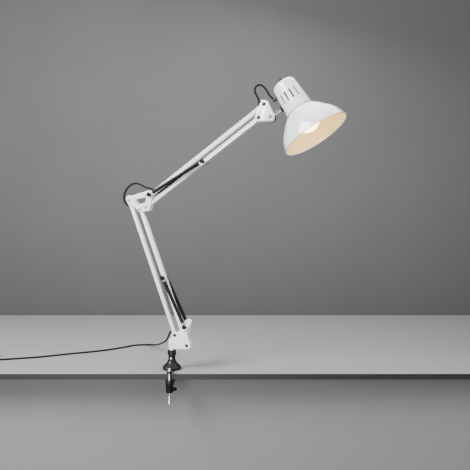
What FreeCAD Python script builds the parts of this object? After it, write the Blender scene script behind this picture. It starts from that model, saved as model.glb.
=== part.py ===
"""Swing arm desk lamp with a table clamp, sprung parallelogram arms and a tilting shade.

The origin is on the swivel axis, on the table top that the upper jaw stands on. +Z is up, the
arms lie in the XZ plane at rest and the shade is towards +X. Every piece is drawn in a frame
of its own, with its origin on its pivot, and is then put in its place.
"""
import FreeCAD, Part
import math
import os
import re

import Sketcher
from FreeCAD import Placement, Rotation, Vector

DOC = FreeCAD.newDocument("swing_arm_desk_lamp")
SHEET = DOC.addObject("Spreadsheet::Sheet", "Sizes")
PARTS = {}

SIZES = {
    # Arms
    "arm_length": 375.0,        # pivot to pivot, both arms
    "lower_lean": 111.1,        # degrees of the lower arm above +X
    "upper_lift": 34.1,         # degrees of the upper arm above +X
    "tube_side": 10.0,
    "tube_wall": 1.0,
    "tube_overhang": 6.0,       # tube end beyond its pivot
    "cord_hole_reach": 12.0,    # pivot to the cord's hole, along the tube
    # Base bracket, from the swivel axis and the table top
    "base_pivot_side": 11.0,
    "base_pivot_rise": 89.5,
    "base_link_side": 34.0,     # rear pivot to front pivot
    "base_link_drop": 24.5,
    "anchor_side": 30.0,        # rear pivot to the spring anchor
    "anchor_rise": 23.0,
    # Elbow bracket, from the rear tube's pivot
    "elbow_side": 63.5,         # to the upper arm's top pivot
    "elbow_rise": 12.0,
    "link_side": 13.3,          # top pivot back to the bottom pivot
    "link_drop": 31.7,
    # Wrist bracket, from the top tube's pivot
    "tilt_side": 15.5,
    "tilt_drop": 31.5,
    # Fasteners and running fits
    "bolt_size": 5.0,
    "bolt_head": 8.7,
    "head_height": 3.2,
    "run_fit": 0.05,            # radial, a pin in its hole
    "face_fit": 0.05,           # between faces that slide on each other
    "plate_wall": 1.2,
    "washer_wall": 0.5,
    "washer_size": 10.0,
    # Springs
    "lower_pin_reach": 183.0,   # front pivot to the spring pin, along the tube
    "upper_pin_reach": 198.0,
    "spring_line": 11.4,        # middle plane to a spring's line
    "sleeve_size": 8.8,
    "sleeve_bore": 7.0,
    "coil_size": 6.6,
    "wire": 1.5,
    "spool_size": 7.4,
    "cap_size": 11.0,
    "cap_wall": 4.0,
    "hook_fit": 0.3,            # radial, a hook's eye round its spool
    "sleeve_start": 11.0,       # pin to the sleeve
    "sleeve_stop": 12.0,        # sleeve to the anchor
    "shank_depth": 26.0,        # anchor hook's shank inside the sleeve
    "coil_back": 8.0,           # shank's tip to the coil
    # Head
    "head_tilt": 32.0,          # degrees of the head's axis from upright
    "rod_size": 6.5,
    "rod_reach": 66.6,          # tilt pivot to the head's axis
    "rod_height": 99.7,         # rim to the rod, along the head's axis
    "rim_radius": 82.0,
    "shade_wall": 1.0,
    "holder_radius": 19.0,
    "shade_height": 75.0,
    "neck_radius": 31.5,
    "housing_foot": 73.0,       # rim to the housing's lower edge
    "housing_top": 152.0,       # rim to the top of the dome
    "housing_foot_radius": 33.5,
    "housing_top_radius": 29.0,
    "housing_wall": 1.2,
    "slot_length": 25.0,
    "slot_width": 3.6,
    "slot_height": 108.0,       # rim to the middle of a slot
    "slot_step": 24.5,          # degrees between slots
    "relief_height": 129.0,     # rim to the cord's strain relief
    "bulb_radius": 30.0,
    "bulb_tip": 12.0,           # rim to the bulb's tip
    # Clamp
    "clamp_turn": 20.0,         # degrees that the clamp is turned from the arms
    "flange_radius": 24.0,
    "column_radius": 10.6,
    "column_height": 50.0,
    "pad_wall": 2.0,
    "table_wall": 15.5,
    "post_radius": 6.0,
    "rod_forward": 50.0,        # swivel axis to the clamp's rod
    "shank_radius": 3.75,
    "thread_radius": 2.5,
    "jaw_width": 20.0,
    "lock_rise": 31.0,
    # Mains lead
    "cord_size": 5.0,
    "coil_radius": 34.0,
    "coil_hole": 23.0,
    "coil_height": 15.0,
    "plug_length": 34.0,        # cable entry to face
    "plug_width": 34.0,
    "plug_depth": 14.0,
}


def fill_sheet():
    """Writes every driving size to the sheet, with its name as its alias."""
    for row, (alias, number) in enumerate(SIZES.items(), start=1):
        SHEET.set(f"A{row}", alias)
        SHEET.set(f"B{row}", str(number))
        SHEET.setAlias(f"B{row}", alias)
    DOC.recompute()


fill_sheet()


def size(alias):
    """The number that the sheet holds."""
    return float(SHEET.get(alias))


def bound(text):
    """An expression on the sheet's names, written out for another object."""
    return re.sub(r"[a-z_]+", lambda w: f"Sizes.{w.group()}" if w.group() in SIZES else w.group(), str(text))


def value(text):
    """The number that an expression gives now."""
    return float(SHEET.evalExpression(bound(text)))


def bind(thing, **properties):
    """Ties properties of an object to expressions on the sheet."""
    for name, text in properties.items():
        thing.setExpression(name, bound(text))


# Frames of the moving pieces -------------------------------------------------------------------

def turn(degrees):
    """A turn in the arms' plane that lifts +X towards +Z."""
    return Rotation(Vector(0, 1, 0), -degrees)


def along(degrees):
    """The direction at an angle above +X in the arms' plane."""
    return Vector(math.cos(math.radians(degrees)), 0, math.sin(math.radians(degrees)))


LOWER = size("lower_lean")
UPPER = size("upper_lift")
BASE_REAR = Vector(size("base_pivot_side"), 0, size("base_pivot_rise"))
BASE_FRONT = BASE_REAR + Vector(size("base_link_side"), 0, -size("base_link_drop"))
BASE_ANCHOR = BASE_REAR + Vector(size("anchor_side"), 0, size("anchor_rise"))
LOWER_PIN = BASE_FRONT + along(LOWER) * size("lower_pin_reach")
ELBOW_REAR = BASE_REAR + along(LOWER) * size("arm_length")
ELBOW_FRONT = BASE_FRONT + along(LOWER) * size("arm_length")
ELBOW_TOP = ELBOW_REAR + Vector(size("elbow_side"), 0, size("elbow_rise"))
ELBOW_LOW = ELBOW_TOP - Vector(size("link_side"), 0, size("link_drop"))
UPPER_PIN = ELBOW_LOW + along(UPPER) * size("upper_pin_reach")
WRIST_TOP = ELBOW_TOP + along(UPPER) * size("arm_length")
WRIST_LOW = ELBOW_LOW + along(UPPER) * size("arm_length")
TILT_PIVOT = WRIST_TOP + Vector(size("tilt_side"), 0, -size("tilt_drop"))
HEAD_TURN = Rotation(Vector(0, 1, 0), -size("head_tilt"))
ROD_WAY = along(size("head_tilt"))
HEAD_WAY = HEAD_TURN.multVec(Vector(0, 0, 1))
RIM = TILT_PIVOT + ROD_WAY * size("rod_reach") - HEAD_WAY * size("rod_height")

PLATE_INSIDE = size("tube_side") / 2 + size("washer_wall") + 2 * size("face_fit")
PLATE_OUTSIDE = PLATE_INSIDE + size("plate_wall")
CLAMP_FRAME = Placement(Vector(), Rotation(Vector(0, 0, 1), size("clamp_turn")))
HEAD_FRAME = Placement(RIM, HEAD_TURN)


# Drawing helpers -------------------------------------------------------------------------------

AXES = {
    "X": Rotation(Vector(0, 1, 0), 90),
    "Y": Rotation(Vector(1, 0, 0), -90),
    "-Y": Rotation(Vector(1, 0, 0), 90),
    "Z": Rotation(),
}


def keep(thing, label, placement=None):
    """Names a sub-part, puts it in its place and lists it for export."""
    thing.Label = label
    thing.Placement = placement or Placement()
    PARTS[label] = thing
    return thing


def cylinder(name, radius, height, at=Vector(), axis="Z"):
    """A cylinder with its size bound to the sheet, starting at a point along an axis."""
    c = DOC.addObject("Part::Cylinder", name)
    bind(c, Radius=radius, Height=height)
    c.Placement = Placement(Vector(at), AXES[axis])
    return c


def cone(name, low_radius, high_radius, height, at=Vector(), axis="Z"):
    """A cone with its size bound to the sheet."""
    c = DOC.addObject("Part::Cone", name)
    bind(c, Radius1=low_radius, Radius2=high_radius, Height=height)
    c.Placement = Placement(Vector(at), AXES[axis])
    return c


def box(name, length, width, height, low):
    """A box with its size bound to the sheet and its low corner at a point."""
    b = DOC.addObject("Part::Box", name)
    bind(b, Length=length, Width=width, Height=height)
    b.Placement = Placement(Vector(low), Rotation())
    return b


def torus(name, radius, wire_radius, at, axis):
    """A ring of round wire."""
    t = DOC.addObject("Part::Torus", name)
    bind(t, Radius1=radius, Radius2=wire_radius)
    t.Placement = Placement(Vector(at), AXES[axis])
    return t


def fuse(name, pieces):
    """One solid from pieces that overlap."""
    f = DOC.addObject("Part::MultiFuse", name)
    f.Shapes = pieces
    f.Refine = True
    return f


def cut(name, base, tool):
    """A solid with another taken out of it."""
    c = DOC.addObject("Part::Cut", name)
    c.Base = base
    c.Tool = tool
    return c


def group(name, pieces):
    """Separate solids that share one node."""
    g = DOC.addObject("Part::Compound", name)
    g.Links = pieces
    return g


def body(name):
    """An empty PartDesign body."""
    return DOC.addObject("PartDesign::Body", name + "_body")


def origin_feature(part_body, role):
    """A plane or axis of a body's own origin."""
    return next(f for f in part_body.Origin.OriginFeatures if f.Role == role)


def arc_through(start, end, radius):
    """The arc between two points that bulges right of the way from start to end, or left if radius is negative."""
    way = end - start
    side = Vector(way.y, -way.x, 0).normalize() * math.copysign(1, radius)
    sagitta = math.sqrt(max(radius ** 2 - (way.Length / 2) ** 2, 0.0))
    centre = (start + end) / 2 - side * sagitta
    first, last = (start, end) if radius > 0 else (end, start)
    angles = [math.atan2(p.y - centre.y, p.x - centre.x) for p in (first, last)]
    if angles[1] < angles[0]:
        angles[1] += 2 * math.pi
    return Part.ArcOfCircle(Part.Circle(centre, Vector(0, 0, 1), abs(radius)), *angles)


def profile(part_body, name, plane, corners):
    """A closed sketch. A corner is (x, y), or (x, y, radius) where an arc leaves it; all are expressions."""
    sketch = part_body.newObject("Sketcher::SketchObject", name)
    sketch.AttachmentSupport = (origin_feature(part_body, plane), [""])
    sketch.MapMode = "FlatFace"
    points = [Vector(value(c[0]), value(c[1]), 0) for c in corners]
    ends = []
    for i, corner in enumerate(corners):
        start, end = points[i], points[(i + 1) % len(points)]
        if len(corner) == 2:
            sketch.addGeometry(Part.LineSegment(start, end))
            ends.append((1, 2))
            continue
        sketch.addGeometry(arc_through(start, end, value(corner[2])))
        ends.append((1, 2) if value(corner[2]) > 0 else (2, 1))
    for i, corner in enumerate(corners):
        after = (i + 1) % len(corners)
        sketch.addConstraint(Sketcher.Constraint("Coincident", i, ends[i][1], after, ends[after][0]))
        for kind, text in (("DistanceX", corner[0]), ("DistanceY", corner[1])):
            n = sketch.addConstraint(Sketcher.Constraint(kind, -1, 1, i, ends[i][0], value(text)))
            sketch.setExpression(f"Constraints[{n}]", bound(text))
        if len(corner) == 3:
            n = sketch.addConstraint(Sketcher.Constraint("Radius", i, abs(value(corner[2]))))
            sketch.setExpression(f"Constraints[{n}]", bound(f"abs({corner[2]})"))
    return sketch


def circles(part_body, name, plane, spots, radius):
    """A sketch of equal circles at (x, y) expressions."""
    sketch = part_body.newObject("Sketcher::SketchObject", name)
    sketch.AttachmentSupport = (origin_feature(part_body, plane), [""])
    sketch.MapMode = "FlatFace"
    for i, (x, y) in enumerate(spots):
        sketch.addGeometry(Part.Circle(Vector(value(x), value(y), 0), Vector(0, 0, 1), value(radius)))
        for kind, text in (("DistanceX", x), ("DistanceY", y)):
            n = sketch.addConstraint(Sketcher.Constraint(kind, -1, 1, i, 3, value(text)))
            sketch.setExpression(f"Constraints[{n}]", bound(text))
        n = sketch.addConstraint(Sketcher.Constraint("Radius", i, value(radius)))
        sketch.setExpression(f"Constraints[{n}]", bound(radius))
    return sketch


def pad(part_body, sketch, length, both_ways=False):
    """A pad of a sketch."""
    p = part_body.newObject("PartDesign::Pad", sketch.Name + "_pad")
    p.Profile = sketch
    p.Midplane = both_ways
    bind(p, Length=length)
    DOC.recompute()
    return p


def pocket(part_body, sketch, reach, both_ways=True, reverse=False):
    """A pocket of a sketch, which has to take something away."""
    before = part_body.Shape.Volume
    p = part_body.newObject("PartDesign::Pocket", sketch.Name + "_pocket")
    p.Profile = sketch
    p.Midplane = both_ways
    p.Reversed = reverse
    bind(p, Length=reach)
    DOC.recompute()
    if not part_body.Shape.Volume < before - 1e-3:
        raise RuntimeError(f"{p.Name} cuts nothing")
    return p


def revolve(part_body, sketch):
    """A full turn of a sketch round its own upright axis."""
    r = part_body.newObject("PartDesign::Revolution", sketch.Name + "_turned")
    r.Profile = sketch
    r.ReferenceAxis = (sketch, ["V_Axis"])
    r.Angle = 360
    DOC.recompute()
    return r


def round_upright(part_body, base, radius, way):
    """Fillets every straight edge that runs along a direction."""
    edges = []
    for n, edge in enumerate(base.Shape.Edges, start=1):
        if isinstance(edge.Curve, Part.Line) and abs(edge.tangentAt(edge.FirstParameter).dot(way)) > 0.999:
            edges.append(f"Edge{n}")
    f = part_body.newObject("PartDesign::Fillet", base.Name + "_round")
    f.Base = (base, edges)
    bind(f, Radius=radius)
    DOC.recompute()
    return f


def pipe(name, corners, radius):
    """A round tube along straight runs that tangent arcs join, with its bend radii printed."""
    points = [Vector(*c) for c in corners]
    edges = []
    radii = []
    start = points[0]
    for before, corner, after in zip(points, points[1:], points[2:]):
        into, out = (corner - before), (after - corner)
        run = 0.45 * min(into.Length, out.Length)
        into.normalize()
        out.normalize()
        half_turn = into.getAngle(out) / 2
        bend = run / math.tan(half_turn)
        radii.append(round(bend, 1))
        first, last = corner - into * run, corner + out * run
        inward = (out - into).normalize()
        middle = corner + inward * (bend / math.cos(half_turn) - bend)
        edges.append(Part.LineSegment(start, first).toShape())
        edges.append(Part.Arc(first, middle, last).toShape())
        start = last
    edges.append(Part.LineSegment(start, points[-1]).toShape())
    path = Part.Wire(edges)
    ring = Part.Wire([Part.Circle(points[0], points[1] - points[0], radius).toShape()])
    solid = path.makePipeShell([ring], True, True)
    drift = solid.Volume / (math.pi * radius ** 2 * path.Length) - 1
    print(f"{name}: length {path.Length:.1f}, smallest radius {min(radii)}, volume off by {drift:.5f}, radii {radii}")
    if abs(drift) > 0.001:
        raise RuntimeError(f"{name} is not its section times its length")
    return solid


def loose_shape(label, shape):
    """A sub-part whose shape the code sets."""
    thing = DOC.addObject("Part::Feature", label)
    thing.Shape = shape
    return keep(thing, label)


# Shared pieces ---------------------------------------------------------------------------------

MIDDLE_GAP = "(tube_side / 2 + washer_wall + 2 * face_fit)"
PLATE_FACE = "(tube_side / 2 + washer_wall + 2 * face_fit + plate_wall)"
HOLE = "bolt_size / 2 + run_fit"


def plate(label, corners, holes, rounding, origin, front):
    """One of a bracket's two sheet plates, with its bolt holes."""
    b = body(label)
    base = pad(b, profile(b, label + "_outline", "XZ_Plane", corners), "plate_wall")
    round_upright(b, base, rounding, Vector(0, 1, 0))
    pocket(b, circles(b, label + "_holes", "XZ_Plane", holes, HOLE), "plate_wall * 4")
    lift = -PLATE_INSIDE if front else PLATE_OUTSIDE
    return keep(b, label, Placement(origin + Vector(0, lift, 0), Rotation()))


def tube(label, pivot, degrees, cord_side, pin_reach=None):
    """A square arm tube between two pivots, drawn along +X from the first."""
    b = body(label)
    overhang, far = "-tube_overhang", "arm_length + tube_overhang"
    outer, inner = "tube_side / 2", "(tube_side / 2 - tube_wall)"
    walls = []
    for half in (outer, inner):
        walls.append([(f"-{half}", f"-{half}"), (half, f"-{half}"), (half, half), (f"-{half}", half)])
    solid = pad(b, profile(b, label + "_section", "YZ_Plane", walls[0]), f"{far} + tube_overhang")
    round_upright(b, solid, "tube_wall", Vector(1, 0, 0))
    pocket(b, profile(b, label + "_bore", "YZ_Plane", walls[1]), "4 * arm_length")
    holes = [("tube_overhang", "0"), ("arm_length + tube_overhang", "0")]
    if pin_reach:
        holes.append((f"{pin_reach} + tube_overhang", "0"))
    pocket(b, circles(b, label + "_pivots", "XZ_Plane", holes, HOLE), "tube_side * 2")
    if cord_side:
        spots = [("tube_overhang + cord_hole_reach", "0"), ("arm_length + tube_overhang - cord_hole_reach", "0")]
        pocket(b, circles(b, label + "_cord_holes", "XY_Plane", spots, BUSH_NECK), "tube_side", False, True)
    start = pivot - along(degrees) * size("tube_overhang")
    return keep(b, label, Placement(start, turn(degrees)))


BUSH_NECK = "cord_size / 2 + 0.5"


def bolt(name, at):
    """A pivot bolt along Y through both plates, with its domed head in front and its nut behind."""
    face = PLATE_OUTSIDE
    reach = f"2 * {PLATE_FACE} + head_height"
    shank = cylinder(name + "_shank", "bolt_size / 2", reach, at - Vector(0, face, 0), "Y")
    head = cylinder(name + "_head", "bolt_head / 2", "head_height * 0.6", at - Vector(0, face, 0), "-Y")
    dome_at = at - Vector(0, face + 0.6 * size("head_height"), 0)
    dome = cone(name + "_dome", "bolt_head / 2", "bolt_head / 3.2", "head_height * 0.4", dome_at, "-Y")
    nut = cylinder(name + "_nut", "bolt_head / 2", "head_height", at + Vector(0, face, 0), "Y")
    return fuse(name, [shank, head, dome, nut])


def washers(name, at):
    """The two nylon washers that space a tube from its plates."""
    pair = []
    for side in (-1, 1):
        inner = side * (size("tube_side") / 2 + size("face_fit"))
        axis = "Y" if side > 0 else "-Y"
        spot = at + Vector(0, inner, 0)
        ring = cylinder(f"{name}_disc{side + 1}", "washer_size / 2", "washer_wall", spot, axis)
        hole = cylinder(f"{name}_hole{side + 1}", HOLE, "washer_wall", spot, axis)
        pair.append(cut(f"{name}_washer{side + 1}", ring, hole))
    return pair


def spool(name, side, face, bored):
    """A black spool with a broad cap that a spring's eye hangs on, standing on a face."""
    axis = "Y" if side > 0 else "-Y"
    root = Vector(0, side * face, 0)
    reach = size("spring_line") + size("wire") / 2 + size("hook_fit") - face
    barrel = cylinder(f"{name}_barrel", "spool_size / 2", f"{reach} + cap_wall", root, axis)
    cap = cylinder(f"{name}_cap", "cap_size / 2", "cap_wall", root + Vector(0, side * reach, 0), axis)
    solid = fuse(f"{name}_body", [barrel, cap])
    if not bored:
        return solid
    return cut(f"{name}_spool", solid, cylinder(f"{name}_core", HOLE, f"{reach} + cap_wall / 2", root, axis))


def hanger(label, at, face, through):
    """A spring's two spools, on a plain steel pin if it goes through, or as studs on their plates."""
    pieces = [spool(f"{label}_{side + 1}", side, face, through) for side in (-1, 1)]
    if through:
        half = size("spring_line") + size("wire") / 2 + size("hook_fit") + size("cap_wall") / 2 - size("run_fit")
        pieces.append(cylinder(label + "_bar", "bolt_size / 2", 2 * half, Vector(0, -half, 0), "Y"))
    return keep(group(label, pieces), label, Placement(at, Rotation()))


def eye(name, x, way, side, shank):
    """A wire eye round a spool with a straight shank, in a spring's own frame."""
    centre = Vector(x, side * size("spring_line"), 0)
    radius = "spool_size / 2 + hook_fit + wire / 2"
    ring = torus(name + "_ring", radius, "wire / 2", centre, "Y")
    start = centre + Vector(way * value(radius), 0, 0)
    rod = cylinder(name + "_rod", "wire / 2", shank, start, "X")
    if way < 0:
        rod.Placement = Placement(start, Rotation(Vector(0, 1, 0), -90))
    return fuse(name, [ring, rod])


def spring_pair(name, pin, anchor):
    """Sleeves and coils that hang on the tube's pin, and the hooks that hang on the anchor."""
    line = anchor - pin
    angle = math.degrees(math.atan2(line.z, line.x))
    frame = Placement(pin, turn(angle))
    ring = value("spool_size / 2 + hook_fit + wire / 2")
    sleeves, coils, hooks = [], [], []
    for side in (-1, 1):
        tag = f"{name}{side + 1}"
        offset = Vector(0, side * size("spring_line"), 0)
        start = offset + Vector(size("sleeve_start"), 0, 0)
        long = line.Length - size("sleeve_start") - size("sleeve_stop")
        outer = cylinder(tag + "_outer", "sleeve_size / 2", long, start, "X")
        bore = cylinder(tag + "_bore", "sleeve_bore / 2", long, start, "X")
        sleeves.append(cut(tag + "_sleeve", outer, bore))
        coil = cylinder(tag + "_coil", "coil_size / 2", f"{long} - shank_depth - coil_back", start, "X")
        coils.append(fuse(tag + "_spring", [coil, eye(tag + "_eye", 0, 1, side, f"sleeve_start - {ring} + 2")]))
        shank = f"sleeve_stop + shank_depth - {ring}"
        hooks.append(eye(tag + "_hook", line.Length, -1, side, shank))
    keep(group(name + "_spring_sleeves", sleeves), name + "_spring_sleeves", frame)
    keep(group(name + "_springs", coils), name + "_springs", frame)
    keep(group(name + "_spring_hooks", hooks), name + "_spring_hooks", frame)


def arm_bushes(label, pivot, degrees):
    """The black bushes where the lead goes in and out of a tube's upper wall."""
    bushes = []
    wall = size("tube_side") / 2
    for n, reach in enumerate((size("cord_hole_reach"), size("arm_length") - size("cord_hole_reach"))):
        neck = cylinder(f"{label}{n}_neck", f"{BUSH_NECK} - run_fit", "tube_wall * 2",
                        Vector(reach, 0, wall - size("tube_wall") * 1.2), "Z")
        rim = cone(f"{label}{n}_rim", "cord_size / 2 + 1.4", "cord_size / 2 + 0.6", "tube_wall * 1.2",
                   Vector(reach, 0, wall), "Z")
        bushes.append(fuse(f"{label}{n}", [neck, rim]))
    return keep(group(label, bushes), label, Placement(pivot, turn(degrees)))


def inner_lead(label, pivot, degrees):
    """The stretch of lead inside a tube, clear of the bolts at its ends."""
    reach = size("cord_hole_reach")
    lead = cylinder(label, "cord_size / 2", "arm_length - 2 * cord_hole_reach", Vector(reach, 0, 0), "X")
    return keep(group(label + "_run", [lead]), label, Placement(pivot, turn(degrees)))


# Clamp -----------------------------------------------------------------------------------------

def upper_jaw():
    """The black casting: a flange on the table, the flared socket and the nose that holds the rod."""
    b = body("upper_jaw")
    corners = [
        ("post_radius + 1", "pad_wall"),
        ("flange_radius", "pad_wall"),
        ("flange_radius", "pad_wall + 3.5", "4.5"),
        ("flange_radius - 4.5", "pad_wall + 8"),
        ("18.5", "pad_wall + 11"),
        ("column_radius + 1", "column_height - 10", "-20"),
        ("column_radius", "column_height - 4"),
        ("column_radius", "column_height"),
        ("post_radius + 1", "column_height"),
    ]
    revolve(b, profile(b, "upper_jaw_outline", "XZ_Plane", corners))
    rod = Vector(0, -size("rod_forward"), size("pad_wall"))
    bar_low = Vector(-5, -size("rod_forward"), size("pad_wall"))
    bar = box("nose_bar", "10", "rod_forward - flange_radius + 6", "5", bar_low)
    boss = cylinder("nose_boss", "6.5", "5", rod)
    hole = cylinder("nose_hole", "shank_radius", "20", rod - Vector(0, 0, 10))
    lock = cylinder("lock_hole", "3", "30", Vector(0, -5, size("lock_rise")), "-Y")
    whole = fuse("upper_jaw_solid", [b, bar, boss])
    return keep(cut("upper_jaw", cut("upper_jaw_bored", whole, hole), lock), "upper_jaw", CLAMP_FRAME)


def upper_pad():
    """The rubber pad under the flange."""
    return keep(group("upper_pad", [cylinder("upper_pad_disc", "flange_radius - 1", "pad_wall")]), "upper_pad",
                CLAMP_FRAME)


def socket_bush():
    """The nylon bush that lines the socket."""
    outer = cylinder("bush_outer", "post_radius + 1", "column_height - pad_wall", Vector(0, 0, size("pad_wall")))
    inner = cylinder("bush_inner", "post_radius + run_fit", "column_height", Vector(0, 0, size("pad_wall") + 3))
    lock = cylinder("bush_lock_hole", "3", "30", Vector(0, -5, size("lock_rise")), "-Y")
    return keep(cut("socket_bush", cut("bush_bored", outer, inner), lock), "socket_bush", CLAMP_FRAME)


def lock_screw():
    """The bright screw in the socket's front that locks the swivel."""
    gap = size("post_radius") + 0.3
    stem = cylinder("lock_stem", "3 - run_fit", "9", Vector(0, -gap, size("lock_rise")), "-Y")
    head = cylinder("lock_head", "3.6", "2.2", Vector(0, -gap - 9, size("lock_rise")), "-Y")
    return keep(fuse("lock_screw", [stem, head]), "lock_screw", CLAMP_FRAME)


def clamp_rod():
    """The bright rod in front of the table, with a plain shank above and a thread below."""
    spot = Vector(0, -size("rod_forward"), 0)
    shank = cylinder("rod_shank", "shank_radius", "pad_wall + 21", spot - Vector(0, 0, 16))
    head = cylinder("rod_head", "4.3", "8", spot + Vector(0, 0, size("pad_wall") + 5))
    thread = cylinder("rod_thread", "thread_radius", "60", spot - Vector(0, 0, 75))
    return keep(fuse("clamp_rod", [shank, head, thread]), "clamp_rod", CLAMP_FRAME)


def lower_jaw():
    """The black jaw that slides on the rod and reaches back under the table."""
    top = -(size("table_wall") + size("pad_wall"))
    spot = Vector(0, -size("rod_forward"), top - 10)
    boss = cylinder("jaw_boss", "jaw_width / 2", "12", spot)
    tongue = box("jaw_tongue", "jaw_width", "rod_forward - 8", "10",
                 Vector(-size("jaw_width") / 2, -size("rod_forward"), top - 10))
    bore = cylinder("jaw_bore", "shank_radius + run_fit", "40", spot - Vector(0, 0, 10))
    solid = cut("lower_jaw", fuse("jaw_solid", [boss, tongue]), bore)
    keep(solid, "lower_jaw", CLAMP_FRAME)
    pad_low = Vector(-size("jaw_width") / 2, -size("rod_forward") + 12, top)
    keep(box("lower_pad", "jaw_width", "rod_forward - 20", "pad_wall", Vector()), "lower_pad",
         CLAMP_FRAME * Placement(pad_low, Rotation()))


def wing_nut():
    """The black nut under the lower jaw, with one lever wing."""
    top = -(size("table_wall") + size("pad_wall")) - 10 - size("face_fit")
    hub = cone("nut_hub", "8.6", "9.6", "18", Vector(0, 0, -18))
    wings = box("nut_wing", "18.5", "6", "9", Vector(0, -3, -15))
    bore = cylinder("nut_bore", "thread_radius + run_fit", "30", Vector(0, 0, -20))
    spot = Placement(Vector(0, -size("rod_forward"), top), Rotation(Vector(0, 0, 1), 15))
    return keep(cut("wing_nut", fuse("nut_solid", [hub, wings]), bore), "wing_nut", CLAMP_FRAME * spot)


# Base bracket ----------------------------------------------------------------------------------

def base_post():
    """The steel post that turns in the socket, with its white block between the plates."""
    foot = size("pad_wall") + 3 + size("face_fit")
    post = cylinder("post_pin", "post_radius", f"column_height + 1.4 - {foot}", Vector(0, 0, foot))
    half = f"({MIDDLE_GAP} - face_fit)"
    low = Vector(-size("post_radius"), -value(half), size("column_height") + 1)
    block = box("post_block", "post_radius * 2", f"2 * {half}", "24", low)
    keep(fuse("base_post", [post, block]), "base_post")


def base_plates():
    """The white plate pair that holds both lower tubes and the spring anchor."""
    corners = [
        ("-base_pivot_side - 6", "column_height + 1.5 - base_pivot_rise"), ("-base_pivot_side - 6", "-13.5"),
        ("-9", "-4"), ("-8", "8"), ("3", "10.5"), ("9", "6.5"), ("anchor_side - 8", "anchor_rise + 1"),
        ("anchor_side - 3", "anchor_rise + 13"), ("anchor_side + 5", "anchor_rise + 20"),
        ("anchor_side + 13", "anchor_rise + 16"), ("anchor_side + 8", "anchor_rise - 8"),
        ("base_link_side + 1", "4 - base_link_drop / 10"), ("base_link_side + 10", "7 - base_link_drop"),
        ("base_link_side + 9", "-7 - base_link_drop"), ("base_link_side - 3", "-9.5 - base_link_drop"),
        ("-base_pivot_side + 6", "column_height + 3 - base_pivot_rise"),
        ("-base_pivot_side + 5", "column_height + 1.5 - base_pivot_rise"),
    ]
    holes = [("0", "0"), ("base_link_side", "-base_link_drop"), ("anchor_side + 5", "anchor_rise + 12")]
    for label, front in (("base_plate_front", True), ("base_plate_rear", False)):
        plate(label, corners, holes, "1", BASE_REAR, front)


def base_fasteners():
    """The base bracket's bolts, washers and spring anchors."""
    bolts = [bolt("base_bolt_rear", BASE_REAR), bolt("base_bolt_front", BASE_FRONT)]
    keep(group("base_pivot_bolts", bolts), "base_pivot_bolts")
    discs = washers("base_rear", BASE_REAR) + washers("base_front", BASE_FRONT)
    keep(group("base_washers", discs), "base_washers")
    hanger("base_spring_anchors", BASE_ANCHOR, PLATE_OUTSIDE, False)


# Elbow bracket ---------------------------------------------------------------------------------

def elbow_plates():
    """The white plate pair at the elbow, with its window."""
    corners = [
        ("-9.5", "3.5"), ("-3", "12"), ("8", "10"), ("elbow_side - 3", "elbow_rise + 11.5"),
        ("elbow_side + 9.5", "elbow_rise + 4.5"), ("elbow_side + 3", "elbow_rise - 22"),
        ("elbow_side - link_side + 12", "elbow_rise - link_drop - 9"),
        ("base_link_side - 2", "-base_link_drop - 9.5"), ("base_link_side - 15", "-base_link_drop + 4"),
        ("3", "-19"),
    ]
    window = [("16", "2"), ("elbow_side - 11", "elbow_rise - 4.5"), ("elbow_side - 14", "elbow_rise - 20"),
              ("base_link_side - 5", "-base_link_drop + 11")]
    holes = [("0", "0"), ("base_link_side", "-base_link_drop"), ("elbow_side", "elbow_rise"),
             ("elbow_side - link_side", "elbow_rise - link_drop")]
    for label, front in (("elbow_plate_front", True), ("elbow_plate_rear", False)):
        made = plate(label, corners, holes, "3", ELBOW_REAR, front)
        pocket(made, profile(made, label + "_window", "XZ_Plane", window), "plate_wall * 4")


def elbow_fasteners():
    """The elbow's bolts, washers and the pin that both springs hang on."""
    spots = {"rear": ELBOW_REAR, "front": ELBOW_FRONT, "low": ELBOW_LOW}
    keep(group("elbow_pivot_bolts", [bolt(f"elbow_bolt_{n}", at) for n, at in spots.items()]), "elbow_pivot_bolts")
    discs = []
    for n, at in {**spots, "top": ELBOW_TOP}.items():
        discs += washers(f"elbow_{n}", at)
    keep(group("elbow_washers", discs), "elbow_washers")
    hanger("elbow_spring_pin", ELBOW_TOP, PLATE_OUTSIDE, True)


ELBOW_CORD = [
    (-128.4, 0.0, 424.9), (-136.5, 0.0, 428.5), (-141.8, 0.0, 437.5), (-143.3, 0.0, 449.0), (-139.8, 0.0, 461.0),
    (-132.0, 0.0, 472.0), (-121.0, 0.0, 480.5), (-108.5, 0.0, 484.0), (-96.5, 0.0, 481.5), (-84.5, 0.0, 475.0),
    (-74.0, 0.0, 470.3), (-64.5, 0.0, 468.6), (-56.0, 0.0, 466.0),
]
WRIST_CORD = [
    (234.8, 0.0, 662.9), (236.3, 0.0, 671.5), (232.0, 0.0, 681.0), (225.5, 0.0, 692.5), (224.5, 0.0, 703.5),
    (232.0, 0.0, 711.5), (242.5, 0.0, 710.0), (251.5, 0.0, 701.0), (258.0, 0.0, 690.0), (263.6, 0.0, 680.6),
    (270.6, 0.0, 673.8),
]


# Wrist bracket and tilt joint ------------------------------------------------------------------

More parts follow.
